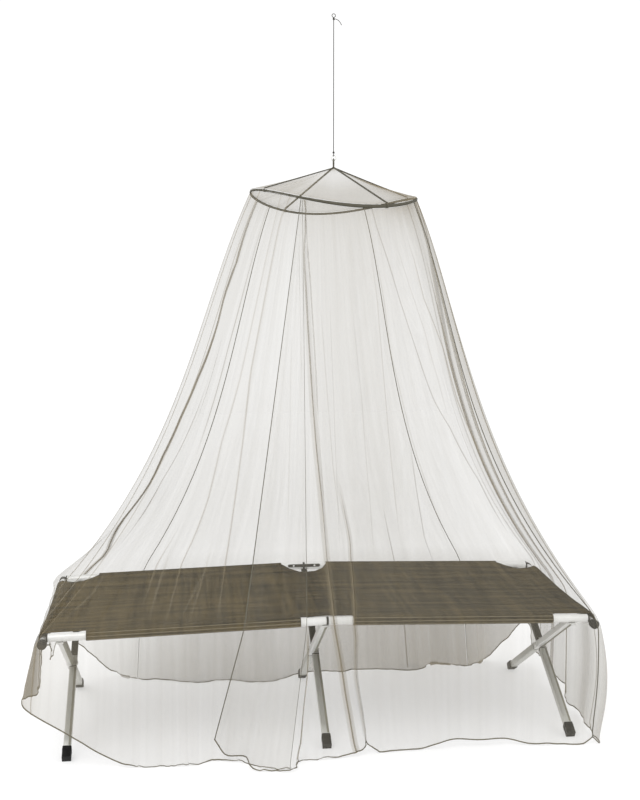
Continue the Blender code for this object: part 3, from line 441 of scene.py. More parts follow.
def makeHanging():
    h = hanging
    x, y, gap, thin = h["x"], h["y"], h["gap"], h["eyeTube"]
    low, high = h["cordLow"], h["cordTop"] - gap
    cord = cordCurve("cordLine", [(x, y, low + (high - low) * i / h["steps"]) for i in range(h["steps"] + 1)],
                     h["cordRadius"], "hanging_cord")
    top = knotPiece("cordKnotTop", h["cordTop"], "cord_knot_top")
    eye = hungRing("cordEye", h["cordTop"] + 2 * h["knot"] + gap + thin + h["eyeMajor"], h["eyeMajor"], thin, False,
                   "cord_eye", sides=14)
    begin = Vector((x + h["knot"] + gap, y, h["cordTop"] + h["knot"]))
    tail = cordCurve("cordTail", [begin + Vector(step) for step in tailSteps], thin, "cord_tail")
    tieMajor, tieZ = h["ringMinor"] + gap + thin, h["ringZ"] + h["ringMajor"]
    knotPiece("cordKnotLow", tieZ + tieMajor + thin + gap, "cord_knot_low")
    hungRing("cordTie", tieZ, tieMajor, thin, True, "cord_tie", steps=32)
    hungRing("hangingRing", h["ringZ"], h["ringMajor"], h["ringMinor"], False, "hanging_ring", "clear", 20)
    loopTop = h["ringZ"] - h["ringMajor"] + h["ringMinor"] + gap + h["loopTube"]
    loopLow = h["apex"] + h["netHalf"] + gap * 3 + h["tapes"] + h["bed"] + h["loopTube"]
    half = (loopTop - loopLow) / 2
    hungRing("apexLoop", loopLow + half, h["loopHalf"], h["loopTube"], True, "apex_loop", "tape", 16,
             half / h["loopHalf"])


makeHanging()
print("cord and ring made")

# ---- hoop and crown ----

hoop = {"centre": (0.078, -0.005), "radius": 0.298, "height": 1.897, "tilt": 0.0106, "tiltAngle": -69.0,
        "saddle": 0.0277, "saddleAngle": -79.0, "tube": 0.0044, "bunch": 0.0022, "bunchAngle": 15.0,
        "bunchWidth": 38.0, "thin": 0.0012, "thinAngle": -45.0, "thinWidth": 35.0, "steps": 360, "bound": 1.12,
        "slim": 0.0012, "seam": 0.0009, "seamOut": 0.55, "seamDown": 0.86,
        "ripples": ((0.00022, 0.9, 0.0), (0.00016, 2.3, 1.0))}
crown = {"apex": 2.014, "hole": 0.010, "sag": 0.010, "tapeAngle": 30.0, "arms": ((-60.0, 107.0), (30.0, 210.0)),
         "tapeWidth": 0.008, "tapeThick": 0.0034, "tapeEnd": 0.0011, "edgeLift": 0.002, "steps": 480,
         "wrinkles": ((0.0035, 8, -240), (0.0012, 26, 40), (0.0006, 61, 0)), "even": 0.19,
         "drawn": (0.36, 78.0, 24.0), "sharp": 12, "full": 1.6, "lift": 0.0006, "endLift": 0.0012,
         "centreRings": (0.002, 0.009), "rings": (0.02, 34), "over": 0.002, "wide": 1.8,
         "tapeSteps": (0.03, 26), "tapeCentre": (0.020, 0.012, 0.006), "tapeOver": 0.001, "endTurn": (20, 300, 15),
         "streaks": ((9, 30, 0.12), (14, 200, 0.096), (23, 80, 0.072)), "streakAngle": -100.0, "streakWidth": 55.0,
         "atApex": (0.25, 0.012), "atRim": (0.12, 0.010)}


def hoopZ(degrees):
    tilt = hoop["tilt"] * np.cos(np.radians(degrees - hoop["tiltAngle"]))
    return hoop["height"] + tilt + hoop["saddle"] * np.cos(2 * np.radians(degrees - hoop["saddleAngle"]))


def aroundHoop(degrees, radius):
    turn = np.radians(degrees)
    return hoop["centre"][0] + radius * np.sin(turn), hoop["centre"][1] - radius * np.cos(turn)


def hoopTube(degrees):
    return hoop["tube"] + hoop["bunch"] * swell(turnFrom(degrees, hoop["bunchAngle"]), 0.0, hoop["bunchWidth"])


def makeHoop():
    # the binding is wrapped cloth, so its thickness ripples a little
    h = hoop
    angles = [360 * i / h["steps"] for i in range(h["steps"])]
    radii = []
    for a in angles:
        ripple = sum(size * math.sin(a * rate + start) for size, rate, start in h["ripples"])
        thin = h["thin"] * swell(turnFrom(a, h["thinAngle"]), 0.0, h["thinWidth"])
        radii.append(hoopTube(a) * h["bound"] - h["slim"] + ripple - thin)
    path = [(*aroundHoop(a, h["radius"]), hoopZ(a)) for a in angles]
    tube("hoopBinding", path, radii, "tape", sides=16, closed=True, start=(0, -1, 0), node="hoop")
    seamPath = [(*aroundHoop(a, h["radius"] + hoopTube(a) * h["seamOut"]), hoopZ(a) - hoopTube(a) * h["seamDown"])
                for a in angles]
    tube("hoopSeam", seamPath, [h["seam"]] * h["steps"], "tape", sides=8, closed=True, start=(0, -1, 0))


def crownZ(degrees, radius):
    c = crown
    edge = hoopZ(degrees) + hoopTube(degrees) + c["edgeLift"]
    share = (radius - c["hole"]) / (hoop["radius"] - c["hole"])
    slack = np.sin(np.radians(2 * (degrees - c["tapeAngle"]))) ** 2     # none at the tapes
    wrinkles = sum(size * np.sin(np.radians(times * degrees + start)) for size, times, start in c["wrinkles"])
    hang = (c["sag"] + wrinkles) * slack * np.sin(math.pi * np.clip(share, 0.0, 1.0))
    return c["apex"] + (edge - c["apex"]) * share - hang


def crownGather(degrees, radius):
    # drawn together at the right, and creased towards the apex at the left
    c = crown
    drawn, at, reach = c["drawn"]
    dense = c["even"] + drawn * swell(turnFrom(degrees, at), 0.0, reach)
    dense += (sum(size * max(0.0, math.cos(math.radians(times * degrees + start))) ** c["sharp"]
                  for times, start, size in c["streaks"])
              * swell(turnFrom(degrees, c["streakAngle"]), 0.0, c["streakWidth"]))
    inner = c["atApex"][0] * math.exp(-(radius - c["hole"]) / c["atApex"][1])
    outer = c["atRim"][0] * math.exp(-(hoop["radius"] - radius) / c["atRim"][1])
    return dense * min(1.0, radius / hoop["radius"] * c["full"]) + inner + outer


def makeCrown():
    c, steps = crown, crown["steps"]
    inner, count = c["rings"]
    radii = np.concatenate([c["centreRings"], np.linspace(inner, hoop["radius"] + c["over"], count)])
    spots = [(360 * i / steps, r) for i in range(steps) for r in radii]
    obj = addPiece("crownNet", [(*aroundHoop(a, r), crownZ(a, r)) for a, r in spots],
                   gridFaces(steps, len(radii), closed=True), "net", node="net_crown",
                   cloth=[(r, a / 360 * c["wide"]) for a, r in spots], smooth=60.0)
    setGatherAndShade(obj, [crownGather(a, r) for a, r in spots])


def makeTapes():
    c = crown
    radii = np.concatenate([np.linspace(hoop["radius"] + c["tapeOver"], *c["tapeSteps"]), c["tapeCentre"]])
    lift = c["tapeThick"] / 2 + c["lift"]
    middle = np.array([*hoop["centre"], 0.0])
    for index, ends in enumerate(c["arms"]):
        arms = [[(*aroundHoop(side, r), crownZ(side, r) + lift) for r in radii] for side in ends]
        asides = [np.array([*aroundHoop(side + 90, 1.0), 0.0]) - middle for side in ends]
        points = arms[0] + [(*hoop["centre"], crownZ(ends[0], 0.0) + lift)] + arms[1][::-1]
        across = [asides[0]] * len(radii) + [asides[0] - asides[1]] + [-asides[1]] * len(radii)
        ribbon(f"crownTape{index + 1}", points, across, c["tapeWidth"], c["tapeThick"], "tape",
               node=f"crown_tape_{index + 1}")
        for which, side, aside in zip("ab", ends, asides):
            # the tape's end goes round the hoop and is sewn down
            radius = hoopTube(side) + c["endLift"]
            loop = [(*aroundHoop(side, hoop["radius"] + radius * math.sin(t)), hoopZ(side) + radius * math.cos(t))
                    for t in np.radians(np.linspace(*c["endTurn"]))]
            ribbon(f"tapeEnd{index + 1}{which}", loop, [aside] * len(loop), c["tapeWidth"], c["tapeEnd"], "tape")


makeHoop()
makeTapes()
makeCrown()
print("hoop and crown made")

# ---- wall of net ----

wall = {"thick": 0.0016, "clearance": 0.0010, "floorLie": 0.030, "bedStep": 0.5, "hover": 0.012, "bow": 0.180,
        "overlapLift": 0.0040, "overlapRows": (8.0, 10.0), "seamHalf": 0.012, "fine": 16, "upper": 40, "lower": 18,
        "strip": 6, "middle": 0.014, "foldGap": (0.00088, 0.0022), "denser": 0.8, "edge": 0.004, "slide": 0.42,
        "ripple": 0.0055, "puff": 0.0045, "hem": 0.0043, "hemThick": 0.0018, "hemStep": 0.0035,
        "seamThick": 0.0014, "seamLift": 0.0006, "low": 0.0001, "hemUp": 0.35, "hemLow": 0.0010, "edgeIn": 0.35,
        "surfaceStep": 0.05, "packed": 0.9, "most": 60, "rippleFrom": (1.3, 1.4, 1.5)}
# how far a fold stands out: full from this depth, grown to it by this power, flatter at the bed, and the part below
foldRise = {"full": 0.40, "grow": 0.8, "flatter": 0.45, "late": 6,
            "below": ((1.0, 0.55), (1.15, 0.65), (1.42, 0.80), (1.72, 0.90), (2.0, 0.90), (3.0, 0.90))}
# small waves of the loose cloth above the hem: length, phase and share of each
hemWaves = ((0.171, 0.0, 0.45), (0.093, 1.3, 0.30), (0.057, 2.9, 0.18), (0.034, 0.7, 0.14), (0.021, 1.9, 0.12))
# how densely the net lies, with the painted shade below the bed under "shade", drawn as denser net: each has its
# size, its place along the wall and how far it reaches
density = {
    "closer": ((0.075, 11.0, 3.6), (0.030, 17.0, 4.0), (0.060, 36.0, 4.0), (0.055, 46.0, 3.0), (-0.105, 62.4, 2.0),
               (-0.070, 1.5, 4.5)),
    "shade": ((0.52, 33.5, 5.0), (0.30, 41.0, 3.5), (0.30, 51.5, 2.5), (0.035, 16.0, 9.0), (0.04, 58.0, 5.0),
              (0.35, 51.6, 0.5), (0.22, 23.7, 0.5)),
    "caps": ((0.13, 23.0, 1.2), (0.13, 52.0, 1.2)), "veil": ((0.10, 40.0, 8.0),),
    "bunched": ((0.30, 17.5, 4.0),), "top": ((0.05, 0.03), (0.06, 0.22)),
    "drawn": (0.17, 21.0, 29.5), "drawnEdges": (0.8, 1.5),
    # the depths that these reach
    "closerBelow": 0.6, "shadeFrom": (0.95, 0.2), "capsAt": (1.0, 0.07), "veilAt": (0.85, 0.25), "bunchedTo": 0.05,
    "streaks": ((0.012, 6.3, 0.6, 0.0), (0.010, 14.9, 0.0, 2.0), (0.009, 27.7, 0.8, 1.0), (0.006, 51.0, 0.0, 0.0)),
}
# each row is one line of the net from the hoop to the hem, named by what is there: its angle at the hoop, where it
# passes the bed, its hem point, its bow, how far its fold stands out, how it bellies and how low its bow sits.
# A row leaves out the last ones where they are as usual.
wallColumns = ("line", "angle", "bedX", "bedY", "bedZ", "hemX", "hemY", "hemZ", "bow", "fold", "belly", "power")
wallUsual = {"fold": 0.0, "belly": 0.0, "power": 1.7}
wallRows = (
    ("entrance edge", -29, -0.28, -0.416, 0.455, -0.385, -0.437, 0.08, 0),
    ("flap", -28.7, -0.24, -0.416, 0.455, -0.345, -0.414, 0.014, 0, 0.004),
    ("flap", -28.3, -0.195, -0.416, 0.455, -0.28, -0.434, 0.012, 0),
    ("tongue", -27.9, -0.15, -0.416, 0.455, -0.251, -0.516, 0.004, 0.1, 0.006),
    ("tongue", -27.5, -0.105, -0.416, 0.455, -0.187, -0.534, 0.004, 0.1),
    ("tongue", -27.1, -0.062, -0.416, 0.455, -0.126, -0.538, 0.004, 0.2, 0.006),
    ("tuck", -26.7, -0.03, -0.415, 0.455, -0.095, -0.46, 0, 0.2),
    ("fold", -26.3, -0.002, -0.414, 0.455, -0.01, -0.455, 0, 0.3, 0.004),
    ("centre band", -25.5, 0.028, -0.412, 0.455, 0.11, -0.418, 0.014, 0.5, 0.024),
    ("hollow", -12, 0.066, -0.41, 0.455, 0.138, -0.404, 0.03, 0.6),
    ("centre fold", 2, 0.101, -0.411, 0.455, 0.16, -0.414, 0.026, 0.6, 0.02),
    ("hollow", 9, 0.155, -0.409, 0.455, 0.195, -0.424, 0, 0.6),
    ("fold", 15, 0.225, -0.409, 0.455, 0.262, -0.404, 0, 0.7, 0.014),
    ("hollow", 21, 0.3, -0.409, 0.455, 0.325, -0.416, 0, 0.7),
    ("fold", 27, 0.37, -0.409, 0.455, 0.385, -0.404, 0.016, 0.8, 0.016),
    ("hollow", 33, 0.445, -0.409, 0.455, 0.455, -0.402, 0.024, 0.8),
    ("fold", 39, 0.53, -0.409, 0.455, 0.54, -0.402, 0.022, 0.9, 0.014),
    ("hollow", 45, 0.62, -0.409, 0.455, 0.635, -0.404, 0.018, 0.9),
    ("fold", 50, 0.715, -0.409, 0.455, 0.72, -0.412, 0.003, 1, 0.012),
    ("hollow", 55.5, 0.81, -0.412, 0.45, 0.81, -0.428, 0, 1),
    ("fold", 60, 0.9, -0.418, 0.45, 0.9, -0.434, 0, 1, 0.008),
    ("front right seam", 64, 0.956, -0.42, 0.446, 0.945, -0.42, 0.014, 1, 0, 0.014),
    ("corner", 70, 0.965, -0.386, 0.446, 0.966, -0.434, 0, 0.82, 0.006, 0.03),
    ("end", 78, 0.966, -0.305, 0.446, 0.968, -0.31, 0.006, 0.82, 0, 0.024),
    ("end", 86, 0.966, -0.195, 0.446, 0.976, -0.19, 0.008, 0.82, 0.01, 0.012),
    ("end", 92, 0.968, -0.08, 0.446, 0.97, -0.06, 0.018, 1),
    ("right band", 97, 0.968, 0.04, 0.446, 0.98, 0.06, 0.04, 1, 0.022),
    ("right band", 102, 0.968, 0.15, 0.446, 0.972, 0.185, 0.05, 1),
    ("right band", 107, 0.968, 0.255, 0.446, 0.982, 0.3, 0.048, 1, 0.024),
    ("end", 114, 0.971, 0.35, 0.446, 0.982, 0.4, 0.066, 1),
    ("corner", 122, 0.968, 0.426, 0.446, 0.955, 0.445, 0.165, 1, 0.018),
    ("back", 130, 0.86, 0.414, 0.446, 0.878, 0.455, 0.095, 1),
    ("back", 139, 0.76, 0.41, 0.455, 0.79, 0.462, 0.004, 1, 0.014),
    ("back right seam", 149, 0.667, 0.409, 0.455, 0.7, 0.405, 0, 1),
    ("back", 156, 0.56, 0.409, 0.455, 0.585, 0.455, 0, 1, 0.016),
    ("back", 163, 0.44, 0.409, 0.455, 0.475, 0.385, 0, 1),
    ("back", 171, 0.3, 0.409, 0.455, 0.325, 0.402, 0, 1, 0.016),
    ("back", 180, 0.15, 0.409, 0.455, 0.165, 0.412, 0, 1),
    ("back", 189, 0, 0.409, 0.455, 0.011, 0.394, 0, 0.9, 0.014),
    ("back", 198, -0.16, 0.409, 0.455, -0.15, 0.318, 0, 0.9),
    ("back", 206, -0.31, 0.409, 0.455, -0.3, 0.345, 0, 0.8, 0.018),
    ("back", 214, -0.45, 0.409, 0.455, -0.44, 0.35, 0, 0.8),
    ("back", 221, -0.55, 0.409, 0.455, -0.56, 0.385, 0, 0.8, 0.012),
    ("back left seam", 226, -0.64, 0.409, 0.455, -0.665, 0.42, 0, 0.8),
    ("back", 233, -0.745, 0.41, 0.45, -0.745, 0.465, 0.003, 0.9, 0.014),
    ("back", 240, -0.85, 0.415, 0.45, -0.82, 0.465, 0.065, 1.2),
    ("left band", 248, -0.982, 0.42, 0.432, -0.925, 0.45, 0.165, 1.45, 0.008),
    ("end", 255, -0.978, 0.35, 0.436, -0.975, 0.365, 0.19, 1.3, 0, 0, 1.6),
    ("end", 262, -0.97, 0.215, 0.446, -0.982, 0.25, 0.15, 1.08, 0.008, 0, 1.6),
    ("end", 269, -0.966, 0.07, 0.446, -0.972, 0.085, 0.262, 0.8),
    ("end", 276, -0.966, -0.09, 0.446, -0.982, -0.09, 0.285, 0.8, 0.005),
    ("end", 283, -0.966, -0.25, 0.446, -0.98, -0.235, 0.205, 0.8),
    ("corner", 290, -0.967, -0.384, 0.446, -1.016, -0.425, 0.236, 0.9, 0.002),
    ("corner fold", 297, -0.958, -0.421, 0.446, -0.985, -0.445, 0.2, 0.92),
    ("fold", 303, -0.86, -0.418, 0.446, -0.87, -0.436, 0.124, 0.9, 0.012),
    ("hollow", 308, -0.75, -0.409, 0.455, -0.76, -0.425, 0.04, 0.8),
    ("fold", 312, -0.645, -0.405, 0.455, -0.655, -0.434, 0, 0.6, 0.012),
    ("hollow", 316, -0.55, -0.404, 0.455, -0.555, -0.448, 0, 0.5),
    ("left fold", 320, -0.46, -0.404, 0.455, -0.46, -0.44, 0, 0.4, 0.014),
    ("hollow", 323, -0.37, -0.404, 0.455, -0.387, -0.421, 0, 0.3),
    ("underlap", 325.5, -0.3, -0.403, 0.455, -0.332, -0.434, 0, 0.2),
    ("underlap", 327.8, -0.22, -0.402, 0.455, -0.284, -0.45, 0, 0.1),
    ("underlap", 330, -0.14, -0.401, 0.455, -0.2, -0.514, 0, 0),
    ("inner edge", 332, -0.062, -0.4, 0.455, -0.13, -0.522, 0, 0),
)
panels = (
    ("Front", "entrance edge", "front right seam", (1.55, 2.05), 0.62),
    ("Right", "front right seam", "back right seam", (1.25, 2.07), 0.72),
    ("Back", "back right seam", "back left seam", (1.45, 2.05), 0.62),
    ("Left", "back left seam", "inner edge", (2.15, 2.05), 0.62),
)


# how far down each row of points is: 0 at the hoop, 1 at the bed, 2 where it nears the floor, 3 at the hem
depths = np.concatenate([np.linspace(0.0, 1.0, wall["upper"] + 1), 1 + np.linspace(0.0, 1.0, wall["lower"] + 1)[1:],
                         2 + np.linspace(0.0, 1.0, wall["strip"] + 1)[1:]])


def column(name, places):
    # smooth values of one column of the table at places between its rows
    spot = wallColumns.index(name)
    values = np.array([row[spot] if spot < len(row) else wallUsual[name] for row in wallRows], float)
    padded = np.concatenate([[2 * values[0] - values[1]], values, [2 * values[-1] - values[-2]]])
    last = len(values) - 1
    places = np.clip(np.asarray(places, float), 0.0, last)
    i = np.minimum(places.astype(int), last - 1)
    t = places - i
    p0, p1, p2, p3 = padded[i], padded[i + 1], padded[i + 2], padded[i + 3]
    return 0.5 * (2 * p1 + (p2 - p0) * t + (2 * p0 - 5 * p1 + 4 * p2 - p3) * t * t
                  + (3 * p1 - p0 - 3 * p2 + p3) * t ** 3)


def bowShare(a, power):
    deepest = power / (power + 1)
    return a ** power * (1 - a) / (deepest ** power * (1 - deepest))


def netLines(places):
    # the net's middle at each place, from the hoop to the hem: an array of place, depth and x, y, z
    angle = column("angle", places)
    bed = np.stack([column(name, places) for name in ("bedX", "bedY", "bedZ")], axis=1)
    high = np.maximum(column("hemZ", places), 0.0)
    hem = np.stack([column("hemX", places), column("hemY", places), high + wall["thick"] / 2], axis=1)
    start, end = wall["overlapRows"]
    lift = wall["overlapLift"] * (1 - ramp(places, start, end - start))
    topX, topY = aroundHoop(angle, hoop["radius"] + lift)
    top = np.stack([topX, topY, hoopZ(angle) - hoopTube(angle) - wall["clearance"]], axis=1)
    run = (top - bed)[:, :2] * wall["bow"] * column("bow", places)[:, None]
    power = column("power", places)
    lines = []
    for depth in depths[:wall["upper"] + 1]:
        row = top + (bed - top) * depth
        row[:, :2] += run * bowShare(depth, power)[:, None]
        lines.append(row)
    step = wall["bedStep"]
    alongX = column("bedX", places + step) - column("bedX", places - step)
    alongY = column("bedY", places + step) - column("bedY", places - step)
    outward = np.stack([alongY, -alongX], axis=1) / np.hypot(alongX, alongY)[:, None]
    reach = ((bed - hem)[:, :2] * outward).sum(1)
    lie = np.clip(reach, -wall["floorLie"], wall["floorLie"])
    flat = hem + np.concatenate([outward * lie[:, None],
                                 np.sqrt(np.maximum(wall["floorLie"] ** 2 - lie ** 2, 0.0))[:, None]], axis=1)
    straight = hem + (bed - hem) * (wall["floorLie"] / np.linalg.norm(bed - hem, axis=1))[:, None]
    touch = flat + (straight - flat) * np.minimum(high / wall["hover"], 1.0)[:, None]
    belly = np.concatenate([outward, np.zeros((len(places), 1))], axis=1) * column("belly", places)[:, None]
    for depth in depths[wall["upper"] + 1:]:
        if depth <= 2.0:
            lines.append(bed + (touch - bed) * (depth - 1) + belly * math.sin(math.pi * (depth - 1)))
        else:
            lines.append(touch + (hem - touch) * (depth - 2))
    return np.stack(lines, axis=1)


def foldShare():
    f = foldRise
    flatter = f["flatter"] * np.minimum(depths, 1.0) ** f["late"]
    upper = np.minimum(1.0, depths / f["full"]) ** f["grow"] * (1 - flatter)
    return np.where(depths <= 1.0, upper, np.interp(depths, *zip(*f["below"])))


def netSurface(places):
    step = wall["surfaceStep"]
    grid = netLines(places)
    along = netLines(np.minimum(places + step, len(wallRows) - 1)) - netLines(np.maximum(places - step, 0.0))
    out = unit(np.stack([along[..., 1], -along[..., 0]], axis=2))
    grid[..., :2] += out * (foldShare()[None, :, None] * np.maximum(column("fold", places), 0.0)[:, None, None])
    for _ in range(2):       # eases the turn over the bed's edge and at the floor
        grid[:, 1:-1] = grid[:, :-2] * 0.25 + grid[:, 1:-1] * 0.5 + grid[:, 2:] * 0.25
    return grid


# creases and pleats of the net: width and rise in metres, how much denser the net is there, and the (depth, place)
# points that it runs through. A pleat lies in three layers.
foldLines = (
    ("crease", 0.0034, 0.004, ((0, 0.22), (0.3, 0.3), (1, 0.4)), ((0, 59), (0.117, 56.68), (0.242, 57.7), (0.335,
     57.7), (0.427, 57.97), (0.565, 58.3), (0.749, 58.6), (0.855, 58.74), (0.988, 58.96))),
    ("crease", 0.0034, 0.0035, ((0, 0.16), (0.5, 0.28), (1, 0.4)), ((0, 57), (0.429, 57.02), (0.568, 56.76),
     (0.706, 56.95), (0.785, 56.84), (0.846, 56.67), (0.98, 56.97))),
    ("crease", 0.0036, 0.0035, 0.38, ((0.762, 55.85), (0.845, 55.54), (0.954, 55.83))),
    ("crease", 0.005, 0.0035, 0.3, ((0.806, 55.86), (0.884, 56.01), (0.933, 56.17), (0.988, 56.38))),
    ("crease", 0.004, 0.0035, 0.32, ((0.806, 57.83), (0.903, 57.88), (0.953, 57.87), (0.993, 57.83))),
    ("crease", 0.006, 0.006, 0.5, ((0.86, 53.45), (0.893, 53.62), (0.968, 53.33))),
    ("crease", 0.0044, 0.004, 0.38, ((0.862, 57.87), (0.908, 57.69), (0.993, 57.41))),
    ("crease", 0.0024, 0.0025, 0.14, ((0.306, 61.65), (0.516, 61.85), (0.797, 62.01))),
    ("crease", 0.0022, 0.0025, 0.14, ((0.06, 2.12), (0.234, 3.64), (0.468, 4.52))),
    ("pleat", 0.0065, 0.003, 0.3, ((0.996, 5.01), (1.095, 5.1), (1.398, 5.55), (1.55, 5.66), (1.88, 6), (1.981,
     5.9), (3, 5.9))),
    ("pleat", 0.015, 0.005, ((0, 0.06), (0.2, 0.14), (0.5, 0.24), (1, 0.32), (1.3, 0.34), (3, 0.34)), ((0, 7.6),
     (0.118, 5), (0.21, 5.64), (0.376, 6.38), (0.537, 6.92), (0.698, 7.36), (0.838, 7.65), (0.937, 7.95), (1.111,
     7.93), (1.531, 7.84), (3, 7.84))),
    ("pleat", 0.0105, 0.004, ((0.6, 0.16), (1, 0.28), (3, 0.36)), ((0.63, 8.8), (0.677, 9.18), (0.794, 9.73),
     (0.847, 9.76), (0.938, 9.91), (1.126, 9.86), (1.59, 9.09), (3, 9.09))),
    ("crease", 0.0022, 0.003, 0.16, ((0.229, 8.53), (0.417, 8.65), (0.63, 8.8), (0.809, 9.22))),
    ("crease", 0.0022, 0.003, 0.14, ((0.072, 15.06), (0.128, 15.49), (0.193, 15.96), (0.3, 17.07), (0.423, 17.58),
     (0.546, 17.88))),
    ("crease", 0.0026, 0.0035, ((0, 0.15), (0.2, 0.3), (0.4, 0.45), (1, 0.4), (3, 0.2)), ((0.062, 16.56), (0.131,
     17.21), (0.229, 17.58), (0.354, 18.97), (0.476, 19.14), (0.574, 19.53), (0.659, 19.66), (0.772, 19.77),
     (0.868, 19.96))),
    ("crease", 0.0022, 0.003, 0.22, ((0.123, 12.17), (0.219, 12.47), (0.339, 12.61), (0.46, 12.75), (0.63, 12.85),
     (0.801, 12.92))),
    ("crease", 0.0022, 0.003, 0.16, ((0.099, 12.57), (0.219, 13.19), (0.34, 13.4), (0.461, 14.03), (0.66, 15.15),
     (0.854, 15.84))),
    ("crease", 0.0026, 0.003, 0.36, ((0.232, 18.86), (0.356, 19.99), (0.478, 19.99), (0.601, 21.01), (0.702,
     21.28), (0.806, 21.4))),
    ("crease", 0.0024, 0.0035, ((0, 0.28), (0.3, 0.36), (1, 0.44)), ((0, 32.4), (0.054, 32.4), (0.138, 32.13),
     (0.246, 31.79), (0.382, 31.2), (0.52, 30.78), (0.6, 30.33), (0.755, 30.02), (0.928, 30.11))),
    ("crease", 0.0024, 0.003, 0.32, ((0.808, 35.21), (0.99, 35.36), (1.654, 35.21), (2.468, 35.21))),
    ("crease", 0.0024, 0.003, 0.32, ((0.634, 32.98), (0.752, 33.4), (0.934, 34.01), (1.017, 34.06))),
    ("crease", 0.0022, 0.0025, 0.12, ((0.232, 36.73), (0.513, 36.72), (0.804, 36.81), (0.971, 36.89))),
    ("crease", 0.0022, 0.0025, 0.12, ((0.235, 35.33), (0.516, 35.33), (0.808, 35.66), (0.977, 35.92))),
    ("crease", 0.0024, 0.0035, ((0, 0.16), (0.3, 0.34), (0.7, 0.36)), ((0, 43.21), (0.047, 43.21), (0.15, 43.26),
     (0.243, 43.32), (0.364, 43.42), (0.567, 43.38), (0.665, 43.33))),
    ("crease", 0.003, 0.004, 0.36, ((0.466, 43.83), (0.634, 44.99), (0.772, 45.03), (0.873, 44.85))),
    ("crease", 0.0026, 0.0035, 0.38, ((0.726, 45.37), (0.82, 45.02), (0.918, 44.85))),
    ("crease", 0.003, 0.0035, 0.36, ((0.85, 43.21), (0.906, 43.97))),
    ("pleat", 0.0125, 0.005, ((0, 0.05), (0.15, 0.24), (0.4, 0.4), (1, 0.42), (3, 0.3)), ((0, 45), (0.1, 45.1),
     (0.21, 45.8), (0.33, 46.9), (0.45, 47.4), (0.55, 47.55), (0.66, 47.4), (0.77, 46.6), (0.94, 45.1), (1.1,
     45.3), (3, 46))),
    ("pleat", 0.012, 0.0055, 0.3, ((0, 25.2), (0.18, 26.4), (0.4, 26.8), (1, 26.7), (3, 26.7))),
    ("crease", 0.003, 0.004, 0.45, ((0, 24), (0.18, 25.4), (0.4, 25.7), (1, 25.5), (3, 25.4))),
    ("crease", 0.0026, 0.0035, 0.3, ((0, 28.3), (0.5, 28.6), (1, 28.5), (3, 28.6))),
    ("crease", 0.0028, 0.0035, 0.35, ((0, 22.6), (0.5, 23), (1, 22.9), (3, 22.9))),
    ("crease", 0.0028, 0.0035, 0.36, ((0, 52.6), (0.5, 52.8), (1, 52.9), (3, 53))),
    ("crease", 0.0026, 0.0035, 0.3, ((0, 50.9), (0.5, 51), (1, 51), (3, 51))),
    ("crease", 0.0026, 0.0035, 0.3, ((0, 49.2), (0.5, 49), (1, 49), (3, 49))),
)
cluster = {"crease": np.array([0.0, 0.35, 0.75, 1.25, 2.0]), "pleat": np.linspace(0.0, 1.0, 10)}


def lineCentre(points):
    return np.interp(depths, *zip(*points))


def lineStrength(points, fade=0.10):
    # fades in and out at the ends of the line, if these aren't at the hoop or the hem
    first, last = points[0][0], points[-1][0]
    rise = ramp(depths, first, fade) if first > 0.02 else 1.0
    fall = 1 - ramp(depths, last - fade, fade) if last < 2.95 else 1.0
    return rise * fall


def hemRipple(along, which):
    return sum(share * np.sin(2 * math.pi * along / size + phase + which) for size, phase, share in hemWaves)


def evenly(dense):
    # how much denser a crease is at each depth: one number, or (depth, number) pairs
    return np.interp(depths, *zip(*dense)) if isinstance(dense, tuple) else np.full(len(depths), dense)


def foldMiddle(line):
    # the place of the line's middle point
    points = line[4]
    return points[len(points) // 2][1]


def anchorLines(own, arc, fine):
    # how far along the panel each fold line lies at each depth, kept in order and a little apart
    anchors = np.zeros((len(own) + 2, len(depths)))
    for j, depth in enumerate(depths):
        anchors[-1, j] = arc[-1, j]
        for k, line in enumerate(own):
            anchors[k + 1, j] = np.interp(lineCentre(line[4])[j], fine, arc[:, j])
        gap = np.interp(depth, (0.0, 3.0), wall["foldGap"])
        for k in range(1, len(anchors) - 1):
            anchors[k, j] = max(anchors[k, j], anchors[k - 1, j] + gap)
        for k in range(len(anchors) - 2, 0, -1):
            anchors[k, j] = min(anchors[k, j], anchors[k + 1, j] - gap)
    return anchors


def spreadColumns(own, anchors):
    # where each column of points lies at each depth: close together at the folds and evenly between them
    edge = cluster["crease"] * wall["edge"]
    shapes = [edge] + [cluster[line[0]] * line[1] for line in own] + [edge]
    middles = [int(np.clip(np.diff(anchors[k:k + 2], axis=0).max() / wall["middle"], 2, wall["most"]))
               for k in range(len(anchors) - 1)]
    spots = []
    for j in range(len(depths)):
        row = [anchors[0, j]]
        for k, middle in enumerate(middles):
            low, high = anchors[k, j], anchors[k + 1, j]
            left, right = shapes[k], shapes[k + 1]
            fit = min(1.0, wall["packed"] * (high - low) / (left[-1] + right[-1]))
            row += list(low + left[1:] * fit)
            row += list(np.linspace(low + left[-1] * fit, high - right[-1] * fit, middle + 2)[1:-1])
            row += list(high - right[1:][::-1] * fit) + [high]
        spots.append(row)
    return np.array(spots).T


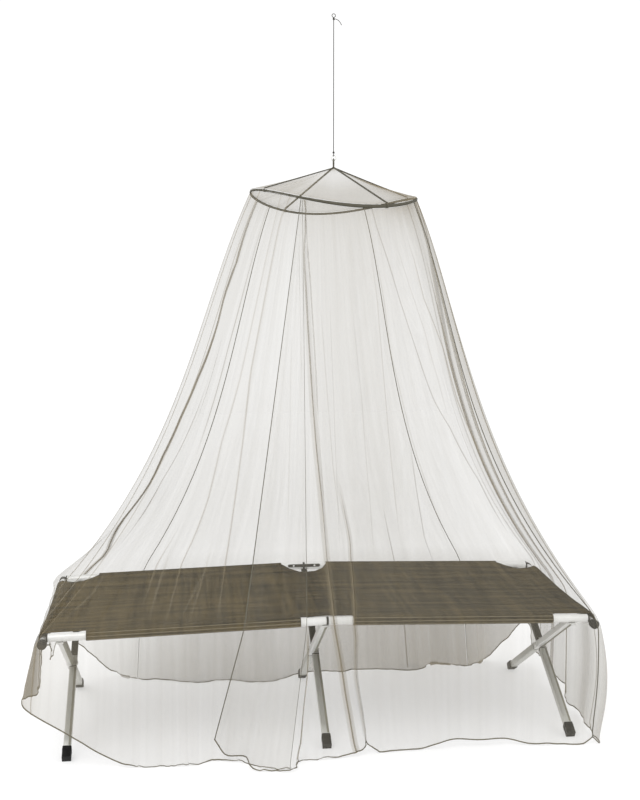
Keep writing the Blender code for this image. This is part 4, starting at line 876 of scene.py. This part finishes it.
def netDensity(place):
    # the cloth that lies over one plain layer at each place and depth, with the painted shade below the bed added as
    # more cloth
    d, index = density, depths[None, :]

    def summedSwells(kind):
        return sum(size * swell(place, at, reach) for size, at, reach in d[kind])

    size, start, end = d["drawn"]
    first, last = d["drawnEdges"]
    more = size * ramp(place, start, first) * (1 - ramp(place, end - last, last))
    more += summedSwells("closer") * swell(np.maximum(index, 1.0), 1.0, d["closerBelow"])
    # painted shade: the net below the bed is made denser and browner where the deck and bed shade it
    more += summedSwells("shade") * ramp(index, *d["shadeFrom"])
    more += summedSwells("veil") * swell(index, *d["veilAt"])
    more += summedSwells("bunched") * np.exp(-index / d["bunchedTo"])
    more += sum(size * np.sin(place * rate + lean * index + start) for size, rate, lean, start in d["streaks"])
    more += sum(size * np.exp(-index / reach) for size, reach in d["top"])
    # the net lies close on the two front caps, and they show through it
    return more - summedSwells("caps") * swell(index, *d["capsAt"])


def foldRelief(own, anchors, spots):
    # how far the folds move each point out and along, and how much denser they make the net
    rise, slide, more = np.zeros((3, *spots.shape))
    for middle, (kind, width, height, dense, points) in zip(anchors[1:], own):
        strength = lineStrength(points)
        q = (spots - middle) / width
        dense = evenly(dense) * strength
        if kind == "crease":
            rise += height * strength * swell(q, 0.0, 1.0)
            more += dense * swell(q, 0.0, wall["denser"])
        else:
            inside = np.clip(1 - q ** 2, 0.0, 1.0)
            window = inside ** 2 * strength
            rise -= height * np.sin(math.pi * q) * window
            slide -= wall["slide"] * width * np.sin(2 * math.pi * q) * window
            more += dense * inside
    return rise, slide, more


def runLength(points, axis):
    # the length from the first point on, along one axis of a grid
    steps = np.linalg.norm(np.diff(points, axis=axis), axis=2)
    return np.insert(np.cumsum(steps, axis=axis), 0, 0.0, axis=axis)


def panelGrid(first, last):
    names = [row[0] for row in wallRows]
    start, end = names.index(first) + wall["seamHalf"], names.index(last) - wall["seamHalf"]
    fine = np.linspace(start, end, int((end - start) * wall["fine"]) + 1)
    base = netSurface(fine)
    arc = runLength(base, 0)
    own = sorted((line for line in foldLines if start < foldMiddle(line) < end), key=foldMiddle)
    anchors = anchorLines(own, arc, fine)
    spots = spreadColumns(own, anchors)

    def atSpots(values):
        return np.stack([np.interp(spots[:, j], arc[:, j], values[:, j]) for j in range(len(depths))], axis=1)

    grid = np.stack([atSpots(base[..., axis]) for axis in range(3)], axis=2)
    place = atSpots(np.repeat(fine[:, None], len(depths), axis=1))
    along = unit(np.gradient(grid, axis=0))
    out = unit(np.cross(np.gradient(grid, axis=1), along))
    rise, slide, gatherAndShade = foldRelief(own, anchors, spots)
    gatherAndShade += netDensity(place)
    ripple = hemRipple(spots, start)
    start, length, power = wall["rippleFrom"]
    rise += wall["ripple"] * ramp(depths, start, length) ** power * ripple
    grid = grid + out * rise[..., None] + along * slide[..., None]
    grid[..., 2] += wall["puff"] * ramp(depths, 2.0, 1.0) * (1 + ripple) * 0.5
    grid[..., 2] = np.maximum(grid[..., 2], wall["thick"] / 2)
    return grid, np.stack([spots, runLength(grid, 1)], axis=2), gatherAndShade, along, out


def keepOffFloor(obj):
    for vertex in obj.data.vertices:
        vertex.co.z = max(vertex.co.z, wall["low"])


def makePanel(name, first, last):
    w = wall
    grid, cloth, gatherAndShade, along, out = panelGrid(first, last)
    columns, rows = grid.shape[:2]
    obj = addPiece("net" + name, grid.reshape(-1, 3), gridFaces(columns, rows), "net",
                   node="net_wall_" + name.lower(), cloth=cloth.reshape(-1, 2), smooth=75.0)
    setGatherAndShade(obj, gatherAndShade.ravel())
    rise = unit(grid[:, -2] - grid[:, -1])
    keep = [0]
    for i in range(1, columns):      # leaves out steps too short for a ribbon
        if np.linalg.norm(grid[i, -1] - grid[keep[-1], -1]) > w["hemStep"]:
            keep.append(i)
    points = grid[keep, -1] + rise[keep] * w["hem"] * w["hemUp"]
    points[:, 2] = np.maximum(points[:, 2], w["hemLow"])
    hem = ribbon("hem" + name, points, rise[keep], w["hem"], w["hemThick"], "hem")
    keepOffFloor(hem)
    print("net", name, columns * rows, "points,", len(keep), "at the hem")
    return grid, along, out


def makeWall():
    grids = {name: makePanel(name, first, last) for name, first, last, flat, share in panels}
    # each line of sewing and how wide it is at the hoop, half way to the bed, at the bed and at the hem
    seams = (("seamFrontRight", "Front", -1, (0.0034, 0.0036, 0.0036, 0.0036)),
             ("seamBackRight", "Right", -1, (0.0026, 0.0030, 0.0028, 0.0011)),
             ("seamBackLeft", "Back", -1, (0.0026, 0.0030, 0.0026, 0.0010)),
             ("entranceEdge", "Front", 0, (0.0018, 0.0026, 0.0034, 0.0036)),
             ("innerEdge", "Left", -1, (0.0009, 0.0013, 0.0017, 0.0014)))
    for name, panel, index, widths in seams:
        width = np.interp(depths, (0.0, 0.5, 1.0, 3.0), widths)
        grid, along, out = grids[panel]
        points = grid[index] + out[index] * wall["seamLift"]
        if "Edge" in name:
            inward = wall["edgeIn"] if index == 0 else -wall["edgeIn"]
            points = points + along[index] * (width * inward)[:, None]
        keepOffFloor(ribbon(name, points, along[index], width, wall["seamThick"], "seam"))


makeWall()
print("net wall made")

# ---- bed ----

bed = {"railSpacing": 0.756, "railRadius": 0.014, "railEnd": 0.931, "railEndZ": 0.4375, "railRise": 0.025,
       "jointX": 0.009, "jointWidth": 0.006, "endGap": 0.0008, "gap": 0.0003, "barX": 0.948, "barZ": 0.4235,
       "barRadius": 0.0125, "capRadius": 0.0160, "capLength": 0.024, "plate": (0.130, 0.003, 0.012),
       "plateLevels": ((-1, 0.97), (-0.8, 1.0), (0.8, 1.0), (1, 0.97)), "rivetX": (-0.042, 0.042),
       # how far out and how wide at each step, in shares for the cap and in metres for the others
       "cap": ((0.0, 0.96), (0.03, 1.0), (0.55, 1.0), (0.60, 0.965), (0.65, 1.0), (0.80, 0.99), (0.92, 0.90),
               (0.98, 0.74), (1.0, 0.52)),
       "rivet": ((0.0, 0.0040), (0.0006, 0.0040), (0.0014, 0.0028), (0.0018, 0.0010)),
       "washer": ((0.0, 0.0052), (0.0004, 0.0050))}
legs = {"x": (-0.886, 0.005, 0.881), "width": 0.026, "offset": 0.005, "notch": 0.0238, "spacing": 0.725,
        "foot": 0.031, "footLength": 0.038, "worn": 0.004, "pivot": 0.008, "upper": 0.0235, "round": 0.0035,
        "footRound": 0.0045, "stripe": 0.0075, "over": 0.0006, "rimAt": 0.62, "rim": 0.003,
        "slim": 0.0008, "lap": 0.002, "collar": (0.004, 0.0005), "shadeStripeLow": (0.003, 0.006),
        "shadeStripeHigh": (0.004, 0.03), "stripeIn": 0.001, "barStep": 0.04, "barEnd": 0.004, "barTaper": 0.94,
        "pivotHead": ((-0.001, 1.0), (0.0008, 1.0), (0.0021, 0.8), (0.003, 0.4))}
deck = {"thick": 0.0016, "sag": 0.010, "front": 0.366, "ease": 0.0014, "end": 0.944, "across": 25, "along": 190,
        "sleeves": ((-0.805, -0.083), (0.098, 0.805)), "bare": ((-0.944, -0.805), (-0.083, 0.098), (0.805, 0.944)),
        "stitches": (0.353, 0.342), "stitchStep": 0.0062, "stitchLength": 0.0042, "inset": 0.004,
        "piping": (48, 4, -38), "pipingRadius": 0.0011, "pipingInset": 0.002, "edgeRadius": 0.0016,
        "ripples": (0.0010, 0.0007, 0.0004), "pipingPoints": 60, "edgePoints": 40,
        # a stitch: how wide, how high, how far it bulges and lies over the cloth, and its shape along it
        "thread": (0.0005, 0.0004, 0.0003, 0.0001),
        "threadShape": ((0.0, 0.5), (0.2, 1.1), (0.5, 1.2), (0.8, 1.1), (1.0, 0.5)),
        "fold": ((0.009, 0.003), (0.0135, 0.006), (0.016, 0.009), (0.0178, 0.0135), (0.0182, 0.018),
                 (0.0182, 0.030), (0.0182, 0.044)),
        "backEdge": ((-0.944, 0.300), (-0.905, 0.268), (-0.865, 0.274), (-0.830, 0.312), (-0.805, 0.352),
                     (-0.083, 0.352), (-0.058, 0.285), (-0.024, 0.238), (0.009, 0.228), (0.040, 0.238),
                     (0.072, 0.276), (0.098, 0.352), (0.805, 0.352), (0.827, 0.304), (0.862, 0.260),
                     (0.905, 0.268), (0.944, 0.300))}
sides = (("front", -1), ("back", 1))
sleeveRadius = bed["railRadius"] + bed["gap"] + deck["ease"]


def railZ(x):
    return bed["railEndZ"] + bed["railRise"] * (1 - abs(x - bed["jointX"]) / bed["railEnd"])


def makeRails():
    b = bed
    radius, half = b["railRadius"], b["jointWidth"] / 2
    plugEnd = b["barX"] - b["barRadius"] - b["gap"]
    for side, way in sides:
        y = way * b["railSpacing"] / 2
        for end, sign in (("left", -1), ("right", 1)):
            far, near = sign * b["railEnd"], b["jointX"] + sign * (half + b["endGap"])
            rod(f"rail_{side}_{end}_tube", (far, y, railZ(far)), (near, y, railZ(near)), radius, "rail",
                chamfer=0.001, node=f"rail_{side}_{end}")
            rod(f"plug_{side}_{end}", (sign * (b["railEnd"] + b["endGap"]), y, railZ(far)),
                (sign * plugEnd, y, railZ(far)), radius, "plastic", node=f"rail_plug_{side}_{end}")
        rod(f"joint_{side}", (b["jointX"] - half, y, railZ(b["jointX"])), (b["jointX"] + half, y, railZ(b["jointX"])),
            radius, "plastic", node=f"rail_joint_{side}")
        makePlate(side, way)


def stepped(name, at, out, steps, material, **kept):
    # a turned piece: how far out and how wide it is at each step
    return tube(name, [at + out * far for far, _ in steps], [wide for _, wide in steps], material, **kept)


def makePlate(side, way):
    # the hinge plate is a rounded strip with two rivets
    length, thick, height = bed["plate"]
    y = way * (bed["railSpacing"] / 2 - bed["railRadius"] - bed["gap"] - thick / 2)
    half, up = length / 2, height / 2
    middle = railZ(bed["jointX"] + half) + up
    turns = np.linspace(-math.pi / 2, math.pi / 2, 14)
    outline = [(half - up + up * math.cos(t), up * math.sin(t)) for t in turns]
    outline += [(-half + up - up * math.cos(t), up * math.sin(t)) for t in -turns]
    verts = [(bed["jointX"] + a * scale, y + level * thick / 2, middle + b * scale)
             for level, scale in bed["plateLevels"] for a, b in outline]
    loft(f"hingePlate_{side}", verts, len(bed["plateLevels"]), "rail" if side == "front" else "paint",
         node=f"hinge_plate_{side}")
    out = Vector((0, -way, 0))
    for name, x in zip("ab", bed["rivetX"]):
        at = Vector((bed["jointX"] + x, y - way * thick / 2, middle))
        stepped(f"rivet_{side}_{name}", at, out, bed["rivet"], "clear", sides=20, slot="aluminium")
        stepped(f"washer_{side}_{name}", at, out, bed["washer"], "plastic", sides=20)


def makeEndBars():
    b = bed
    half = b["railSpacing"] / 2 + b["railRadius"] + b["gap"]
    cap = [(far * b["capLength"], wide * b["capRadius"]) for far, wide in b["cap"]]
    for end, sign in (("left", -1), ("right", 1)):
        x, z = sign * b["barX"], b["barZ"]
        rod(f"endBar_{end}", (x, -half, z), (x, half, z), b["barRadius"], "rail", node=f"end_bar_{end}")
        for side, way in sides:
            stepped(f"endCap_{side}_{end}", Vector((x, way * (half + b["gap"]), z)), Vector((0, way, 0)), cap,
                    "plastic", sides=36, node=f"end_cap_{side}_{end}")


def bar(name, start, end, width, material, round=0.003, high=None, wide=None, **kept):
    # a square tube with rounded corners; high cuts it level, wide is its size along X where that differs
    start, end = Vector(start), Vector(end)
    side = Vector((1.0, 0.0, 0.0))
    up = (end - start).normalized().cross(side)
    halves = (wide or width) / 2, width / 2
    profile = []
    for a, b in ((1, 1), (-1, 1), (-1, -1), (1, -1)):
        centre = math.atan2(b, a)
        profile += [(a * (halves[0] - round) + round * math.cos(centre + t),
                     b * (halves[1] - round) + round * math.sin(centre + t))
                    for t in np.linspace(-math.pi / 4, math.pi / 4, 5)]
    steps, near, taper = max(4, int((end - start).length / legs["barStep"])), legs["barEnd"], legs["barTaper"]
    stations = [(0.0, taper)] + [(share, 1.0) for share in np.linspace(near, 1 - near, steps)] + [(1.0, taper)]
    verts = [start + (end - start) * float(share) + side * (a * scale) + up * (b * scale)
             for share, scale in stations for a, b in profile]
    if high is not None:
        for v in verts:
            v.z = min(v.z, high)
    return loft(name, verts, len(stations), material, **kept)


def legLine(x0, way):
    # lower end, upper end and direction of a leg's middle line
    x = x0 - legs["offset"] * way
    rail = Vector((x, -way * bed["railSpacing"] / 2, railZ(x0)))
    foot = Vector((x, way * legs["spacing"] / 2, 0.0))
    for _ in range(6):
        along = (rail - foot).normalized()
        foot.z = legs["foot"] / 2 * abs(along.y)
    return foot, rail, along


def makeLeg(which, name, x0, way, share):
    # a leg in three lengths: below the crossing, the notched length that the other leg lies in, and above it
    g, gap, leg, base = legs, bed["gap"], f"leg_{which}_{name}", f"foot_{which}_{name}"
    foot, rail, along = legLine(x0, way)
    footTop, crossing = foot + along * g["footLength"], foot.lerp(rail, share)
    low, high = crossing - along * g["notch"], crossing + along * g["notch"]
    level = rail.z - bed["railRadius"] - gap * 2
    upper, notched = ("paint", "leg") if which == "front" else ("rail", "rail")
    cut = way * (g["offset"] - gap / 2)             # the notched side, from the leg's middle
    outer = -way * g["width"] / 2
    aside, lap, wider = Vector(((cut + outer) / 2, 0.0, 0.0)), along * g["lap"], g["width"] + g["over"]
    bar(leg + "_lower", footTop + along * gap, low, g["width"], "leg", g["round"], node=leg)
    bar(leg + "_notch", low - lap + aside, high + lap + aside, g["width"] - g["slim"], notched, g["round"] * 0.5,
        wide=abs(cut - outer) - g["slim"])
    bar(leg + "_upper", high, rail + along * g["width"], g["upper"], upper, g["round"], high=level)
    under, over = g["collar"]
    bar(leg + "_collar", low - along * under, low - along * over, wider, "plastic", g["round"])
    # painted shade: a dark stripe down the right half of the tube's front, standing for its right side in shade
    side = Vector((g["width"] / 2 - g["stripe"] / 2 - g["stripeIn"], 0.0, 0.0))
    ends, inset = ((footTop, low), "shadeStripeLow") if which == "front" else ((high, rail), "shadeStripeHigh")
    first, last = ends[0] + along * g[inset][0], ends[1] - along * g[inset][1]
    bar(leg + "_channel", first + side, last + side, wider, "shadeStripe", g["over"], wide=g["stripe"])
    # the cap's lower end is a few millimetres under the floor
    bar(base + "_cap", foot - along * (g["worn"] / along.z), footTop, g["foot"], "rubber", g["footRound"], node=base)
    at = foot + along * (g["footLength"] * g["rimAt"])
    bar(base + "_rim", at, at + along * g["rim"], g["foot"] + g["over"] * 2, "rubber", g["footRound"])


def makeLegs():
    g = legs
    share = g["spacing"] / (g["spacing"] + bed["railSpacing"])
    head = [(far, wide * g["pivot"]) for far, wide in g["pivotHead"]]
    for name, x0 in zip(("left", "middle", "right"), g["x"]):
        for which, way in sides:
            makeLeg(which, name, x0, way, share)
        foot, rail, _ = legLine(x0, 1)
        inner = g["offset"] + g["width"] / 2 + bed["gap"]
        for letter, way in (("a", -1), ("b", 1)):
            stepped(f"pivot_{name}{letter}", Vector((x0 + way * inner, 0, foot.lerp(rail, share).z)),
                    Vector((way, 0, 0)), head, "clear", sides=28, node=f"pivot_{name}" if way < 0 else None,
                    slot="aluminium")


def deckZ(x, y):
    # height of the flat cloth's middle layer
    first, second, third = deck["ripples"]
    ripple = (first * math.sin(x * 21 + y * 4) * math.sin(y * 7 + 1)
              + second * math.sin(x * 47 + 2) * math.cos(y * 13) + third * math.sin(x * 90 + y * 30))
    calm = max(0.0, 1 - (abs(y) / deck["front"]) ** 4)
    sag = deck["sag"] * math.cos(math.pi * y / bed["railSpacing"]) ** 2
    return railZ(x) + sleeveRadius - sag + ripple * calm


def backEdge(x):
    return float(np.interp(x, *zip(*deck["backEdge"])))


sleeveTurns = np.radians(np.arange(76, -236, -14))


def deckSection(x):
    # one cut across the cloth, from the inside of one sleeve to the inside of the other
    half, top, z0 = bed["railSpacing"] / 2, railZ(x) + sleeveRadius, railZ(x)
    shares = np.linspace(0.0, 1.0, deck["across"])
    front, back = ([(reach * s, deckZ(x, reach * s)) for s in shares] for reach in (-deck["front"], backEdge(x)))
    around = [(half + sleeveRadius * math.cos(t), z0 + sleeveRadius * math.sin(t)) for t in sleeveTurns]
    inside = [(-y, z) for y, z in around][::-1]
    return inside + [(-half, top)] + front[::-1] + back[1:] + [(half, top)] + around


def hangOver(verts, edge, sign):
    # the cloth's end goes over the end bar and hangs a little way down
    faces, previous = [], edge
    for out, drop in deck["fold"]:
        row = list(range(len(verts), len(verts) + len(edge)))
        verts += [(verts[i][0] + sign * out, verts[i][1], verts[i][2] - drop) for i in edge]
        for k in range(len(row) - 1):
            quad = (previous[k], previous[k + 1], row[k + 1], row[k])
            faces.append(quad if sign < 0 else quad[::-1])
        previous = row
    return faces


def makeDeck():
    d = deck
    marks = [x for span in (*d["sleeves"], *d["bare"]) for x in span]
    stations = sorted(set(np.round(np.linspace(-d["end"], d["end"], d["along"]), 4)) | set(marks))
    verts = [(x, y, z) for x in stations for y, z in deckSection(x)]
    count, middle, reach = len(verts) // len(stations), len(sleeveTurns) + d["across"], d["across"] - 1
    faces = []
    for i in range(len(stations) - 1):
        x = (stations[i] + stations[i + 1]) / 2
        bare = any(low < x < high for low, high in d["bare"])
        for j in range(count - 1):
            if bare and max(abs(j - middle), abs(j + 1 - middle)) > reach:
                continue
            a, b = i * count + j, (i + 1) * count + j
            faces.append((a, b, b + 1, a + 1))
    for first, sign in ((0, -1), ((len(stations) - 1) * count, 1)):
        faces += hangOver(verts, list(range(first + middle - reach, first + middle + reach + 1)), sign)
    used = sorted({i for face in faces for i in face})
    index = {old: new for new, old in enumerate(used)}
    obj = addPiece("deckCloth", [verts[i] for i in used], [tuple(index[i] for i in f) for f in faces], "canvas",
                   node="deck_canvas", smooth=60.0)
    faceOutward(obj)
    solid = obj.modifiers.new("thickness", "SOLIDIFY")
    solid.thickness, solid.offset, solid.use_even_offset = d["thick"], 0.0, True
    print("deck", len(used), "points")


def dashes(name, pairs, material):
    # one short stitch on each pair of points
    verts, faces, shape = [], [], deck["threadShape"]
    wide, high, bulge, _ = deck["thread"]
    for start, end in pairs:
        start, end = Vector(start), Vector(end)
        across = (end - start).normalized().cross(Vector((0, 0, 1))).normalized()
        faces += [tuple(len(verts) + i for i in face) for face in ringFaces(len(shape), 4)]
        for share, size in shape:
            centre = start.lerp(end, share) + Vector((0, 0, bulge * math.sin(math.pi * share)))
            verts += [centre + across * (wide * size * c) + Vector((0, 0, high * size * s))
                      for c, s in ((1, 0), (0, 1), (-1, 0), (0, -1))]
    faceOutward(addPiece(name, verts, faces, material))


def makeStitches():
    d = deck
    for side, way in sides:
        pairs = []
        for low, high in d["sleeves"]:
            for line in d["stitches"]:
                x = low + d["inset"]
                while x < high - d["inset"]:
                    pairs.append([(at, way * line, deckZ(at, way * line) + d["thick"] / 2 + d["thread"][3])
                                  for at in (x, x + d["stitchLength"])])
                    x += d["stitchStep"]
        dashes("stitches_" + side, pairs, "stitch")


def makeEdging():
    # a narrow binding on the cloth's free edges
    count = deck["edgePoints"]
    for n, (low, high) in enumerate(deck["bare"]):
        for side, _ in sides:
            xs = np.linspace(low, high, count)
            ys = [-deck["front"] if side == "front" else backEdge(x) for x in xs]
            tube(f"edging_{side}_{n}", [(x, y, deckZ(x, y)) for x, y in zip(xs, ys)], [deck["edgeRadius"]] * count,
                 "canvas", sides=10)


def makePiping():
    # rows of sewing along the outside of each sleeve
    radius, count, inset = sleeveRadius + deck["thick"] / 2, deck["pipingPoints"], deck["pipingInset"]
    for side, way in sides:
        for n, (low, high) in enumerate(deck["sleeves"]):
            for turn in deck["piping"]:
                t = math.radians(turn)
                points = [(x, way * (bed["railSpacing"] / 2 + radius * math.cos(t)), railZ(x) + radius * math.sin(t))
                          for x in np.linspace(low + inset, high - inset, count)]
                tube(f"piping_{side}_{n}_{turn}", points, [deck["pipingRadius"]] * count, "piping", sides=8)


makeRails()
makeEndBars()
makeLegs()
makeDeck()
makeStitches()
makePiping()
makeEdging()
print("bed made")

# ---- floor and light ----

studio = {"world": 1.07, "floor": 0.48, "floorGlow": 0.556, "floorSize": 9.0, "aim": (0.0, 0.0, 0.6),
          "key": (110.0, 3.0, (-2.6, -3.0, 4.4)), "fill": (25.0, 2.5, (3.4, -2.4, 2.6))}


def makeFloor():
    half = studio["floorSize"]
    mesh = bpy.data.meshes.new("floor")
    mesh.from_pydata([(-half, -half, 0), (half, -half, 0), (half, half, 0), (-half, half, 0)], [], [(0, 1, 2, 3)])
    mat = bpy.data.materials.new("paleFloor")
    mat.use_nodes = True
    # the floor glows a little, which keeps its shadows soft and pale
    for key, value in (("Base Color", (*[studio["floor"]] * 3, 1.0)), ("Roughness", 0.9), ("Specular IOR Level", 0.0),
                       ("Emission Color", (1.0, 1.0, 1.0, 1.0)), ("Emission Strength", studio["floorGlow"])):
        mat.node_tree.nodes["Principled BSDF"].inputs[key].default_value = value
    mesh.materials.append(mat)
    floor = bpy.data.objects.new("floor", mesh)
    bpy.context.collection.objects.link(floor)


def makeStudio():
    scene = bpy.context.scene
    scene.world = bpy.data.worlds.new("studio")
    scene.world.use_nodes = True
    background = scene.world.node_tree.nodes["Background"].inputs
    background["Color"].default_value = (1.0, 1.0, 1.0, 1.0)
    background["Strength"].default_value = studio["world"]
    scene.view_settings.view_transform = "Standard"
    makeFloor()
    for name in ("key", "fill"):
        power, size, at = studio[name]
        data = bpy.data.lights.new(name, "AREA")
        data.energy, data.size = power, size
        light = bpy.data.objects.new(name, data)
        light.location = at
        light.rotation_euler = (Vector(studio["aim"]) - Vector(at)).to_track_quat("-Z", "Y").to_euler()
        bpy.context.collection.objects.link(light)


makeStudio()
print("studio made")
